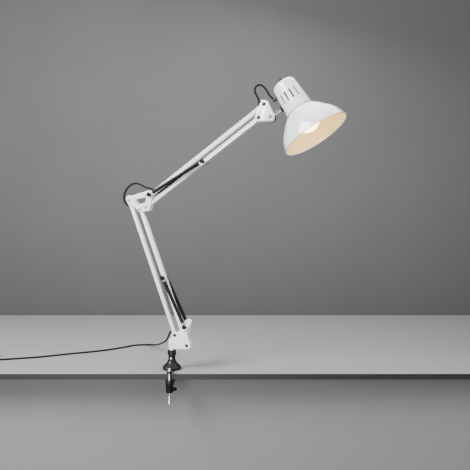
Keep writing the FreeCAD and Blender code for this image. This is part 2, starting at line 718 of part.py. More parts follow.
def wrist_plates():
    """The white three-cornered plate pair that holds both upper tubes and the tilt joint."""
    corners = [
        ("-6", "10"), ("7", "8.5"), ("tilt_side + 9.5", "4 - tilt_drop"), ("tilt_side + 7", "-9 - tilt_drop"),
        ("-link_side - 9.5", "-9 - link_drop"), ("-link_side - 9", "4 - link_drop"),
    ]
    holes = [("0", "0"), ("-link_side", "-link_drop"), ("tilt_side", "-tilt_drop")]
    for label, front in (("wrist_plate_front", True), ("wrist_plate_rear", False)):
        plate(label, corners, holes, "3.5", WRIST_TOP, front)


def wrist_fasteners():
    """The wrist's bolts and washers."""
    spots = {"top": WRIST_TOP, "low": WRIST_LOW}
    keep(group("wrist_pivot_bolts", [bolt(f"wrist_bolt_{n}", at) for n, at in spots.items()]), "wrist_pivot_bolts")
    discs = []
    for n, at in spots.items():
        discs += washers(f"wrist_{n}", at)
    keep(group("wrist_washers", discs), "wrist_washers")


def tilt_bolt():
    """The flat-headed bolt of the tilt joint, with two spanner holes in its head."""
    head_at = Vector(0, -PLATE_OUTSIDE, 0)
    shank = cylinder("tilt_shank", "bolt_size / 2", f"2 * {PLATE_FACE} + 9", head_at, "Y")
    head = cylinder("tilt_head", "5.5", "1.2", head_at, "-Y")
    holes = [cylinder(f"tilt_hole{n}", "0.9", "1", head_at + Vector(0, -0.6, n), "-Y") for n in (-2.3, 2.3)]
    solid = cut("tilt_bolt_cut", fuse("tilt_bolt_solid", [shank, head]), fuse("tilt_holes", holes))
    keep(group("tilt_bolt", [solid]), "tilt_bolt", Placement(TILT_PIVOT, Rotation()))


def tilt_knob():
    """The black knob behind the bracket that tightens the tilt joint."""
    start = Vector(0, PLATE_OUTSIDE + size("face_fit"), 0)
    hub = cylinder("knob_hub", "5", "3", start, "Y")
    grip = cylinder("knob_grip", "9", "9", start + Vector(0, 3, 0), "Y")
    bore = cylinder("knob_bore", HOLE, "9.5", start, "Y")
    solid = cut("knob_solid", fuse("knob_outer", [hub, grip]), bore)
    keep(group("tilt_knob", [solid]), "tilt_knob", Placement(TILT_PIVOT, Rotation()))


def head_rod():
    """The eye between the plates and the bright rod that the head turns on."""
    half = PLATE_INSIDE - size("face_fit")
    eye_ring = cylinder("eye_ring", "7", 2 * half, Vector(0, -half, 0), "Y")
    eye_hole = cylinder("eye_hole", HOLE, 4 * half, Vector(0, -2 * half, 0), "Y")
    reach = "rod_reach - housing_foot_radius + 6"
    rod = cylinder("rod_bar", "rod_size / 2", reach, Vector(0, 0, 0), "X")
    frame = Placement(TILT_PIVOT, turn(size("head_tilt")))
    keep(cut("head_rod", fuse("head_rod_solid", [eye_ring, rod]), eye_hole), "head_rod", frame)
    stop = size("rod_reach") - housing_radius_at_rod() + size("housing_wall") + 1.4
    ring = cylinder("rod_nut_ring", "6", "3.5", Vector(stop, 0, 0), "X")
    hole = cylinder("rod_nut_hole", "rod_size / 2", "3.5", Vector(stop, 0, 0), "X")
    keep(cut("rod_nut", ring, hole), "rod_nut", frame)


def housing_radius_at_rod():
    """The housing's outer radius at the rod's height."""
    rise = (size("rod_height") - size("housing_foot")) / (size("housing_top") - 9 - size("housing_foot"))
    return size("housing_foot_radius") + rise * (size("housing_top_radius") - size("housing_foot_radius"))


# Head ------------------------------------------------------------------------------------------

def head_shell():
    """The white housing: a tapered drum with a domed top, two fans of vent slots and its holes."""
    b = body("housing")
    wall = "housing_wall"
    corners = [
        ("housing_foot_radius", "housing_foot"), ("housing_top_radius", "housing_top - 9", "11"),
        ("housing_top_radius - 9", "housing_top - 1.2", "60"), ("4", "housing_top"),
        ("4", f"housing_top - {wall}", "-60"), ("housing_top_radius - 9.4", f"housing_top - 1.2 - {wall}", "-10"),
        (f"housing_top_radius - {wall}", "housing_top - 9"), (f"housing_foot_radius - {wall}", "housing_foot"),
    ]
    revolve(b, profile(b, "housing_outline", "XZ_Plane", corners))
    slots = []
    for n, side in enumerate((-90, 90)):
        for k in (-1.5, -0.5, 0.5, 1.5):
            slot = box(f"slot{n}_{int(k * 2 + 3)}", "40", "slot_width", "slot_length", Vector())
            low = Vector(10, -size("slot_width") / 2, size("slot_height") - size("slot_length") / 2)
            slot.Placement = Placement(Vector(), Rotation(Vector(0, 0, 1), side + k * size("slot_step"))) * Placement(
                low, Rotation())
            slots.append(slot)
    rod = cylinder("housing_rod_hole", "rod_size / 2 + run_fit", "40", Vector(-40, 0, size("rod_height")), "X")
    lead = cylinder("housing_lead_hole", "cord_size / 2 + 0.5", "40", Vector(-40, 0, size("relief_height")), "X")
    solid = cut("housing", b, fuse("housing_cuts", slots + [rod, lead]))
    keep(solid, "housing", HEAD_FRAME)


def shade():
    """The spun shade: two round sweeps from the rolled rim to the neck, and the flange that clamps it."""
    b = body("shade")
    wall = "shade_wall"
    neck_low = "(shade_height - 4)"
    corners = [
        ("rim_radius", "0"), ("rim_radius - 1", "3", "78"), ("rim_radius - 24", "45", "95"),
        ("neck_radius", neck_low), ("neck_radius", "shade_height"), ("holder_radius + 0.3", "shade_height"),
        ("holder_radius + 0.3", f"shade_height - {wall}"), (f"neck_radius - {wall}", f"shade_height - {wall}"),
        (f"neck_radius - {wall}", f"{neck_low} - 0.6", "-94"),
        (f"rim_radius - 24 - {wall} * 0.75", f"45 - {wall} * 0.7", "-77"), (f"rim_radius - 1 - {wall}", "3"),
        (f"rim_radius - {wall}", "0"),
    ]
    revolve(b, profile(b, "shade_outline", "XZ_Plane", corners))
    bead = torus("rim_bead", "rim_radius - 0.5", "1.3", Vector(), "Z")
    keep(fuse("shade", [b, bead]), "shade", HEAD_FRAME)


def lamp_holder():
    """The holder inside the housing, its threaded shell, and the ring that clamps the shade to its shoulder."""
    top = size("housing_top") - 12
    low = size("shade_height") - 6
    outer = cylinder("holder_outer", "holder_radius", top - low, Vector(0, 0, low))
    shoulder = cylinder("holder_shoulder", "holder_radius + 4", 2, Vector(0, 0, size("shade_height") + 0.05))
    inner = cylinder("holder_inner", "holder_radius - 4", top - 16 - low, Vector(0, 0, low))
    stem = cylinder("holder_stem", "6", 12 - size("housing_wall") - 0.9, Vector(0, 0, top))
    mouth = cylinder("holder_mouth", "holder_radius - 1", top - 43 - low, Vector(0, 0, low))
    cup = cut("holder_cup", fuse("holder_solid", [outer, shoulder]), fuse("holder_space", [inner, mouth]))
    keep(fuse("lamp_holder", [cup, stem]), "lamp_holder", HEAD_FRAME)
    shell = cut("socket_shell", cylinder("socket_tube", "holder_radius - 4 - run_fit", 26, Vector(0, 0, top - 42)),
                cylinder("socket_bore", "13.6", 60, Vector(0, 0, top - 60)))
    keep(shell, "socket_shell", HEAD_FRAME)
    under = size("shade_height") - size("shade_wall") - 3.05
    ring = cut("shade_ring", cylinder("ring_outer", "holder_radius + 5", 3, Vector(0, 0, under)),
               cylinder("ring_inner", "holder_radius + run_fit", 10, Vector(0, 0, under - 3)))
    keep(ring, "shade_ring", HEAD_FRAME)


def glass(name, inset):
    """The turned shape of the bulb's glass, or of the space inside it."""
    b = body(name)
    centre = "bulb_tip + bulb_radius"
    neck = "bulb_tip + 80"
    radius = f"(bulb_radius - {inset})"
    corners = [
        ("0", f"bulb_tip + {inset}", radius), (radius, centre, radius),
        (f"{radius} * 0.55", f"{centre} + {radius} * 0.65", "-66"), (f"13 - {inset}", neck), ("0", neck),
    ]
    revolve(b, profile(b, name + "_outline", "XZ_Plane", corners))
    return b


def bulb():
    """The hollow glass bulb and its metal cap."""
    keep(cut("bulb_glass", glass("bulb_outside", 0), glass("bulb_inside", 1)), "bulb_glass", HEAD_FRAME)
    cap = cylinder("bulb_thread", "13.2", 25, Vector(0, 0, size("bulb_tip") + 80))
    tip = cone("bulb_contact", "9", "4", 3, Vector(0, 0, size("bulb_tip") + 105))
    keep(fuse("bulb_cap", [cap, tip]), "bulb_cap", HEAD_FRAME)


def switch():
    """The push switch in the dome: a black collar and its button."""
    top = size("housing_top")
    collar = cut("switch_collar", cylinder("collar_outer", "5.5", 2, Vector(0, 0, top + 0.1)),
                 cylinder("collar_inner", "3.3", 6, Vector(0, 0, top - 2)))
    keep(collar, "switch_collar", HEAD_FRAME)
    button = fuse("switch_button", [cylinder("button_stem", "3.2", 7.5, Vector(0, 0, top + 0.3)),
                                    cylinder("button_pin", "1.5", 1, Vector(0, 0, top - 0.6))])
    keep(button, "switch_button", HEAD_FRAME)


def head_fittings():
    """The black collar round the rod and the lead's right-angled strain relief."""
    at_rod = housing_radius_at_rod()
    start = Vector(-at_rod - 5.2, 0, size("rod_height"))
    collar = cylinder("rod_collar_disc", "7", "5.2", start, "X")
    hole = cylinder("rod_collar_hole", "rod_size / 2 + run_fit", "20", start - Vector(5, 0, 0), "X")
    clear = cone("rod_collar_clear", "housing_foot_radius", "housing_top_radius",
                 "housing_top - 9 - housing_foot", Vector(0, 0, size("housing_foot")))
    low = cylinder("rod_collar_base", "7", "12", start, "X")
    trimmed = cut("rod_collar_fit", fuse("rod_collar_solid", [collar, low]), clear)
    keep(cut("rod_collar", trimmed, hole), "rod_collar", HEAD_FRAME)
    relief_at = Vector(-38, 0, size("relief_height"))
    foot = cylinder("relief_foot", "4.4", "14", relief_at, "X")
    knee = DOC.addObject("Part::Sphere", "relief_knee")
    bind(knee, Radius="4.4")
    knee.Placement = Placement(relief_at, Rotation())
    shell_clear = cone("relief_clear", "housing_foot_radius", "housing_top_radius",
                       "housing_top - 9 - housing_foot", Vector(0, 0, size("housing_foot")))
    solid = cut("head_relief", fuse("relief_solid", [foot, knee]), shell_clear)
    keep(solid, "head_relief", HEAD_FRAME)


# Leads -----------------------------------------------------------------------------------------

MAINS_CORD = [
    (-1.3, 0.0, 97.6), (-9.0, 4.0, 91.0), (-17.0, 13.5, 81.0), (-26.5, 27.0, 71.5), (-38.5, 42.0, 63.0),
    (-55.0, 63.0, 54.0), (-79.0, 95.0, 43.0), (-106.0, 131.0, 31.0), (-142.0, 176.0, 17.0), (-180.0, 220.0, 6.0),
    (-208.0, 231.0, 2.5), (-237.0, 213.0, 2.5), (-250.0, 178.0, 2.5), (-272.0, 134.0, 2.5), (-300.0, 96.0, 2.5),
    (-334.0, 63.0, 2.5), (-371.0, 22.0, 2.5), (-408.0, -20.0, 2.5), (-450.0, -52.0, 2.5), (-494.0, -86.0, 2.5),
    (-530.0, -96.0, 2.5),
]


def leads():
    """The two loops that bridge the joints, the mains lead, its coil and its plug."""
    for label, route in (("elbow_cord", ELBOW_CORD), ("wrist_cord", WRIST_CORD), ("mains_cord", MAINS_CORD)):
        loose_shape(label, pipe(label, route, size("cord_size") / 2))
    coil = cut("mains_coil", cylinder("coil_disc", "coil_radius", "coil_height"),
               cylinder("coil_core", "coil_hole", "coil_height"))
    centre, way, inward = coil_frame()
    keep(coil, "mains_coil", Placement(centre, Rotation()))
    long, wide, deep = size("plug_length"), size("plug_width"), size("plug_depth")
    grip = cone("plug_grip", "cord_size * 0.7", "plug_depth * 0.45", "plug_length / 2", Vector(), "X")
    block = box("plug_block", "plug_length * 0.6", "plug_width", "plug_depth", Vector(long * 0.4, -wide / 2, -deep / 2))
    pins = [cylinder(f"plug_pin{n}", "2", "21", Vector(long - 2, n, 0), "X") for n in (-9.5, 9.5)]
    entry = centre - inward * coil_lane() + way * (size("coil_radius") + 14) + Vector(0, 0, deep / 2)
    heading = math.degrees(math.atan2(way.y, way.x))
    keep(fuse("mains_plug", [grip, block] + pins), "mains_plug", Placement(entry, Rotation(Vector(0, 0, 1), heading)))


def coil_lane():
    """The radius of the coil's outer turns."""
    return size("coil_radius") - size("cord_size") * 0.6


def coil_frame():
    """The middle of the coil, which the lead's end meets from the side, with the lead's way and the way inward."""
    end = Vector(*MAINS_CORD[-1])
    way = (end - Vector(*MAINS_CORD[-2])).normalize()
    inward = Vector(way.y, -way.x, 0)
    inner_edge = coil_lane() - size("cord_size") / 2
    reach = math.sqrt(size("coil_radius") ** 2 - inner_edge ** 2)
    spot = end + inward * coil_lane() + way * (reach + size("face_fit"))
    return Vector(spot.x, spot.y, 0), way, inward


# Assembly --------------------------------------------------------------------------------------

def build():
    """Makes every sub-part."""
    for make in (upper_jaw, upper_pad, socket_bush, lock_screw, clamp_rod, lower_jaw, wing_nut, base_post,
                 base_plates, base_fasteners, elbow_plates, elbow_fasteners, wrist_plates, wrist_fasteners,
                 tilt_bolt, tilt_knob, head_rod, head_shell, shade, lamp_holder, bulb, switch, head_fittings,
                 leads):
        make()
    tube("lower_tube_rear", BASE_REAR, LOWER, True)
    tube("lower_tube_front", BASE_FRONT, LOWER, False, "lower_pin_reach")
    tube("upper_tube_top", ELBOW_TOP, UPPER, True)
    tube("upper_tube_bottom", ELBOW_LOW, UPPER, False, "upper_pin_reach")
    for name, pivot, degrees in (("lower", BASE_REAR, LOWER), ("upper", ELBOW_TOP, UPPER)):
        arm_bushes(name + "_cord_bushes", pivot, degrees)
        inner_lead(name + "_inner_lead", pivot, degrees)
    for name, pin, anchor in (("lower", LOWER_PIN, BASE_ANCHOR), ("upper", UPPER_PIN, ELBOW_TOP)):
        hanger(name + "_spring_pin", pin, size("tube_side") / 2 + size("face_fit"), True)
        spring_pair(name, pin, anchor)


def check_and_export():
    """Refuses a failed object or a bad shape, then writes each sub-part."""
    DOC.recompute()
    for thing in DOC.Objects:
        if {"Invalid", "Error"} & set(thing.State):
            raise RuntimeError(f"{thing.Name} failed: {thing.State}")
    for label, thing in PARTS.items():
        if thing.Shape.isNull() or not thing.Shape.isValid() or not thing.Shape.Solids:
            raise RuntimeError(f"{label} has no good shape")
    os.makedirs("parts", exist_ok=True)
    for label, thing in PARTS.items():
        thing.Shape.exportStep(f"parts/{label}.step")


build()
check_and_export()
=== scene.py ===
"""Looks of a swing arm desk lamp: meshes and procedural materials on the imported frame."""

import logging
import math
from dataclasses import dataclass
from enum import Enum
from typing import Sequence

import bmesh
import bpy
from mathutils import Matrix, Vector


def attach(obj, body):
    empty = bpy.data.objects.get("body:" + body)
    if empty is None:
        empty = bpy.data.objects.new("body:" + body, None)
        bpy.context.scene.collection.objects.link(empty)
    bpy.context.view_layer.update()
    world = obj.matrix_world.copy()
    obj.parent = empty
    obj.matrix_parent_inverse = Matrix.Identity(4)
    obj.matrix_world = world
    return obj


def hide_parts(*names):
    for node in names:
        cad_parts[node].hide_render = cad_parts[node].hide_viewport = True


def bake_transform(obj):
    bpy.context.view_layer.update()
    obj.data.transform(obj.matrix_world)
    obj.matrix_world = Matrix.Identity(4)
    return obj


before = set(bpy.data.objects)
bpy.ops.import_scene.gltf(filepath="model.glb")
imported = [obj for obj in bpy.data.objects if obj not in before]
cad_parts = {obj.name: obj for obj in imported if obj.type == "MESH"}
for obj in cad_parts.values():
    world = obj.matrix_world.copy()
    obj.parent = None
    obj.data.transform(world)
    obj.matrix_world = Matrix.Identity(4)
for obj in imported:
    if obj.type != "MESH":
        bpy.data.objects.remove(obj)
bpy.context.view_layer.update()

MM = 0.001
LOG = logging.getLogger("lamp")
Point = tuple[float, float, float]
Spot = tuple[float, float]
Profile = Sequence[Spot]


class Finish(Enum):
    """The materials of the lamp and its setting."""

    WHITE = "white_paint"
    SHADE_OUTSIDE = "shade_outside"
    SHADE_INSIDE_CREAM_AND_PAINTED_LIGHT = "shade_inside_cream_and_painted_light"
    CASTING = "black_casting"
    PLASTIC = "black_plastic"
    RUBBER = "black_rubber"
    LEAD = "lead_sheath"
    BRIGHT = "bright_steel"
    STEEL = "plain_steel"
    BLACKED = "blacked_steel"
    NYLON = "nylon"
    SPRING = "spring_steel"
    BRASS = "brass_shell"
    GLASS = "lit_glass"
    TABLE = "table_top"
    PANEL = "cabinet_front"
    EDGE = "table_edge"
    WALL = "backdrop"


@dataclass(frozen=True)
class Layout:
    """Where the lamp's pivots are at rest, in millimetres and degrees."""

    arm: float = 375.0
    lower_lean: float = 111.1
    upper_lift: float = 34.1
    head_tilt: float = 32.0
    rod_reach: float = 66.6
    rod_height: float = 99.7
    clamp_turn: float = 20.0
    rod_forward: float = 50.0
    spring_line: float = 11.4
    base_rear: Point = (11.0, 0.0, 89.5)
    base_front: Point = (45.0, 0.0, 65.0)
    anchor: Point = (41.0, 0.0, 112.5)

    def along(self, degrees: float) -> Vector:
        """The direction at an angle above +X in the arms' plane.

        Args:
            degrees: the angle.

        Returns:
            A unit vector.
        """
        return Vector((math.cos(math.radians(degrees)), 0.0, math.sin(math.radians(degrees))))

    @property
    def lower_pin(self) -> Vector:
        """The lower springs' pin."""
        return Vector(self.base_front) + self.along(self.lower_lean) * 183.0

    @property
    def elbow_rear(self) -> Vector:
        """The rear lower tube's upper pivot."""
        return Vector(self.base_rear) + self.along(self.lower_lean) * self.arm

    @property
    def elbow_front(self) -> Vector:
        """The front lower tube's upper pivot."""
        return Vector(self.base_front) + self.along(self.lower_lean) * self.arm

    @property
    def elbow_top(self) -> Vector:
        """The top upper tube's lower pivot."""
        return self.elbow_rear + Vector((63.5, 0.0, 12.0))

    @property
    def elbow_low(self) -> Vector:
        """The bottom upper tube's lower pivot."""
        return self.elbow_top - Vector((13.3, 0.0, 31.7))

    @property
    def upper_pin(self) -> Vector:
        """The upper springs' pin."""
        return self.elbow_low + self.along(self.upper_lift) * 198.0

    @property
    def wrist_top(self) -> Vector:
        """The top upper tube's wrist pivot."""
        return self.elbow_top + self.along(self.upper_lift) * self.arm

    @property
    def wrist_low(self) -> Vector:
        """The bottom upper tube's wrist pivot."""
        return self.elbow_low + self.along(self.upper_lift) * self.arm

    @property
    def tilt(self) -> Vector:
        """The tilt pivot."""
        return self.wrist_top + Vector((15.5, 0.0, -31.5))

    def place(self, at: Sequence[float], degrees: float) -> Matrix:
        """A frame whose +X points at an angle above the row's +X.

        Args:
            at: its origin in millimetres.
            degrees: its angle.

        Returns:
            The frame as a matrix in millimetres.
        """
        return Matrix.Translation(Vector(at)) @ Matrix.Rotation(-math.radians(degrees), 4, "Y")

    @property
    def head(self) -> Matrix:
        """The head's frame: its origin at the middle of the rim and +Z up to the dome."""
        turned = self.place((0, 0, 0), self.head_tilt)
        rim = self.tilt + self.along(self.head_tilt) * self.rod_reach
        rim -= turned.to_3x3() @ Vector((0, 0, self.rod_height))
        return self.place(rim, self.head_tilt)

    @property
    def clamp(self) -> Matrix:
        """The clamp's frame, turned about the swivel axis."""
        return Matrix.Rotation(math.radians(self.clamp_turn), 4, "Z")


LAYOUT = Layout()


class Shop:
    """Mesh operations that every sub-assembly shares."""

    @staticmethod
    def finish_mesh(name: str, bm: bmesh.types.BMesh, at: Matrix, sharp: float = 32.0) -> bpy.types.Object:
        """Turns a bmesh drawn in millimetres into an object in the row frame.

        Args:
            name: the piece's name.
            bm: the mesh, which is freed.
            at: the frame that it was drawn in.
            sharp: degrees above which an edge stays sharp.

        Returns:
            The object.
        """
        bmesh.ops.transform(bm, matrix=Matrix.Scale(MM, 4) @ at, verts=bm.verts)
        bmesh.ops.recalc_face_normals(bm, faces=bm.faces)
        for face in bm.faces:
            face.smooth = True
        mesh = bpy.data.meshes.new(name)
        bm.to_mesh(mesh)
        bm.free()
        mesh.set_sharp_from_angle(angle=math.radians(sharp))
        obj = bpy.data.objects.new(name, mesh)
        bpy.context.scene.collection.objects.link(obj)
        return obj

    @staticmethod
    def merge(bm: bmesh.types.BMesh, part: bmesh.types.BMesh, at: Matrix) -> None:
        """Moves a part's mesh into a larger one.

        Args:
            bm: the mesh to add to.
            part: the mesh to add, which is freed.
            at: the part's frame.
        """
        bmesh.ops.transform(part, matrix=at, verts=part.verts)
        mesh = bpy.data.meshes.new("part")
        part.to_mesh(mesh)
        part.free()
        bm.from_mesh(mesh)
        bpy.data.meshes.remove(mesh)

    @staticmethod
    def lathe(bm: bmesh.types.BMesh, profile: Profile, at: Matrix = Matrix(), steps: int = 48) -> None:
        """Spins a profile about Z.

        Args:
            bm: the mesh to add to.
            profile: (radius, height) pairs.
            at: the frame of the axis.
            steps: faces round.
        """
        part = bmesh.new()
        verts = [part.verts.new((r, 0.0, z)) for r, z in profile]
        edges = [part.edges.new(pair) for pair in zip(verts, verts[1:])]
        bmesh.ops.spin(part, geom=verts + edges, axis=(0, 0, 1), cent=(0, 0, 0), dvec=(0, 0, 0),
                       angle=2 * math.pi, steps=steps, use_merge=True, use_duplicate=False)
        bmesh.ops.remove_doubles(part, verts=part.verts, dist=1e-4)
        Shop.merge(bm, part, at)

    @staticmethod
    def prism(bm: bmesh.types.BMesh, outline: Profile, height: float, at: Matrix, round_by: float) -> None:
        """Extrudes a polygon along Z and rounds its edges.

        Args:
            bm: the mesh to add to.
            outline: the polygon's corners.
            height: how far it is extruded.
            at: its frame.
            round_by: the radius of its edges.
        """
        part = bmesh.new()
        face = part.faces.new([part.verts.new((x, y, 0.0)) for x, y in outline])
        made = bmesh.ops.extrude_face_region(part, geom=[face])
        top = [g for g in made["geom"] if isinstance(g, bmesh.types.BMVert)]
        bmesh.ops.translate(part, vec=(0, 0, height), verts=top)
        if round_by > 0:
            bmesh.ops.bevel(part, geom=part.edges[:], offset=round_by, segments=3, profile=0.5,
                            affect="EDGES", clamp_overlap=True, material=-1)
        Shop.merge(bm, part, at)

    @staticmethod
    def refined(node: str, round_by: float) -> bpy.types.Object:
        """A CAD solid's surface with its hard edges rounded.

        Args:
            node: the CAD node.
            round_by: the edge radius in millimetres.

        Returns:
            The object, which replaces the node.
        """
        bm = bmesh.new()
        bm.from_mesh(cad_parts[node].data)
        bmesh.ops.transform(bm, matrix=Matrix.Scale(1 / MM, 4), verts=bm.verts)
        bmesh.ops.remove_doubles(bm, verts=bm.verts, dist=1e-3)
        bmesh.ops.dissolve_limit(bm, angle_limit=math.radians(1.0), verts=bm.verts, edges=bm.edges)
        hard = [e for e in bm.edges if e.is_manifold and e.calc_face_angle(0.0) > math.radians(32)]
        if round_by > 0 and hard:
            bmesh.ops.bevel(bm, geom=hard, offset=round_by, segments=2, profile=0.5, affect="EDGES",
                            clamp_overlap=True, material=-1)
        obj = Shop.finish_mesh(node + "_skin", bm, Matrix(), 40.0)
        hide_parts(node)
        return obj

    @staticmethod
    def line_points(points: Sequence[Point]) -> list[Vector]:
        """Points close together along the smooth line that a route's corners pull.

        Args:
            points: the route in millimetres.

        Returns:
            Points in metres.
        """
        curve = bpy.data.curves.new("line", "CURVE")
        curve.dimensions = "3D"
        curve.resolution_u = 12
        spline = curve.splines.new("NURBS")
        spline.points.add(len(points) - 1)
        for dot, point in zip(spline.points, points):
            dot.co = (*[c * MM for c in point], 1.0)
        spline.order_u = 3
        spline.use_endpoint_u = True
        obj = bpy.data.objects.new("line", curve)
        bpy.context.scene.collection.objects.link(obj)
        bpy.context.view_layer.update()
        mesh = bpy.data.meshes.new_from_object(obj)
        dots = [v.co.copy() for v in mesh.vertices]
        bpy.data.objects.remove(obj)
        bpy.data.curves.remove(curve)
        bpy.data.meshes.remove(mesh)
        return dots

    @staticmethod
    def sweep(name: str, points: Sequence[Vector], radius: float, as_mesh: bool) -> bpy.types.Object:
        """A round tube along points that lie close together.

        Args:
            name: the piece's name.
            points: the line in metres.
            radius: the tube's radius in metres.
            as_mesh: whether the result is a mesh and not a curve.

        Returns:
            The object.
        """
        curve = bpy.data.curves.new(name, "CURVE")
        curve.dimensions = "3D"
        curve.bevel_depth = radius
        curve.bevel_resolution = 5
        curve.use_fill_caps = True
        spline = curve.splines.new("POLY")
        spline.points.add(len(points) - 1)
        for dot, point in zip(spline.points, points):
            dot.co = (*point, 1.0)
        obj = bpy.data.objects.new(name, curve)
        bpy.context.scene.collection.objects.link(obj)
        if not as_mesh:
            return obj
        bpy.context.view_layer.update()
        mesh = bpy.data.meshes.new_from_object(obj)
        bpy.data.objects.remove(obj)
        bpy.data.curves.remove(curve)
        mesh.name = name
        for face in mesh.polygons:
            face.use_smooth = True
        mesh.set_sharp_from_angle(angle=math.radians(50))
        made = bpy.data.objects.new(name, mesh)
        bpy.context.scene.collection.objects.link(made)
        return made


def length_of(points: Sequence[Vector]) -> float:
    """The length of a line.

    Args:
        points: the line's points.

    Returns:
        The sum of its steps.
    """
    return sum((b - a).length for a, b in zip(points, points[1:]))


def axis_frame(at: Sequence[float], way: Sequence[float]) -> Matrix:
    """A frame whose +Z points along a direction.

    Args:
        at: its origin in millimetres.
        way: the direction.

    Returns:
        The frame.
    """
    turned = Vector((0, 0, 1)).rotation_difference(Vector(way)).to_matrix().to_4x4()
    return Matrix.Translation(Vector(at)) @ turned


@dataclass(frozen=True)
class Recipe:
    """A material's numbers: linear colours, shares from 0 to 1, and scales per metre."""

    color: Point
    worn: Point
    roughness: float
    metallic: float = 0.0
    coat: float = 0.0
    specular: float = 0.5
    wear: float = 0.3
    spread: float = 0.15
    grain: float = 900.0
    patch: float = 25.0
    bump: float = 0.05
    depth: float = 0.0002
    glow: Point = (1.0, 1.0, 1.0)
    glow_strength: float = 0.0


RECIPES: dict[Finish, Recipe] = {
    Finish.WHITE: Recipe((0.80, 0.80, 0.79), (0.7, 0.7, 0.69), 0.24, coat=0.5, grain=600, bump=0.04),
    Finish.SHADE_OUTSIDE: Recipe((0.74, 0.75, 0.75), (0.66, 0.67, 0.67), 0.2, coat=0.6, grain=500, patch=12),
    # Cream paint made a deeper yellow: painted warm light from the lit bulb.
    Finish.SHADE_INSIDE_CREAM_AND_PAINTED_LIGHT: Recipe((0.9, 0.76, 0.42), (0.86, 0.7, 0.36), 0.45, grain=700),
    Finish.CASTING: Recipe((0.006, 0.006, 0.0065), (0.015, 0.015, 0.015), 0.4, coat=0.08, specular=0.25,
                           bump=0.25, spread=0.25),
    Finish.PLASTIC: Recipe((0.006, 0.006, 0.0065), (0.012, 0.012, 0.012), 0.42, specular=0.15, grain=1500,
                           bump=0.12, spread=0.2),
    Finish.RUBBER: Recipe((0.02, 0.02, 0.02), (0.045, 0.043, 0.04), 0.7, grain=1200, bump=0.3),
    Finish.LEAD: Recipe((0.005, 0.005, 0.005), (0.012, 0.012, 0.012), 0.5, specular=0.12, grain=1600,
                        patch=60, bump=0.15),
    Finish.BRIGHT: Recipe((0.82, 0.82, 0.83), (0.6, 0.6, 0.6), 0.14, metallic=1.0, grain=800),
    Finish.STEEL: Recipe((0.56, 0.56, 0.57), (0.38, 0.37, 0.36), 0.33, metallic=1.0, grain=1200, bump=0.2,
                         spread=0.3),
    Finish.BLACKED: Recipe((0.03, 0.03, 0.032), (0.09, 0.09, 0.09), 0.32, metallic=0.6, grain=1400,
                           bump=0.15),
    Finish.NYLON: Recipe((0.72, 0.71, 0.66), (0.6, 0.58, 0.52), 0.45),
    Finish.SPRING: Recipe((0.5, 0.5, 0.51), (0.3, 0.29, 0.28), 0.28, metallic=1.0, grain=1500, bump=0.15),
    Finish.BRASS: Recipe((0.78, 0.6, 0.28), (0.5, 0.37, 0.16), 0.3, metallic=1.0),
    Finish.GLASS: Recipe((0.95, 0.9, 0.8), (0.92, 0.86, 0.74), 0.35, glow=(1.0, 0.74, 0.40),
                         glow_strength=9.0),
    Finish.TABLE: Recipe((0.22, 0.22, 0.225), (0.2, 0.2, 0.2), 0.5, grain=300, patch=6),
    Finish.PANEL: Recipe((0.19, 0.19, 0.19), (0.18, 0.18, 0.18), 0.6, grain=300, patch=4),
    Finish.EDGE: Recipe((0.01, 0.01, 0.01), (0.015, 0.015, 0.015), 0.5, grain=300),
    Finish.WALL: Recipe((0.115, 0.115, 0.117), (0.105, 0.105, 0.105), 0.8, grain=200, patch=3),
}


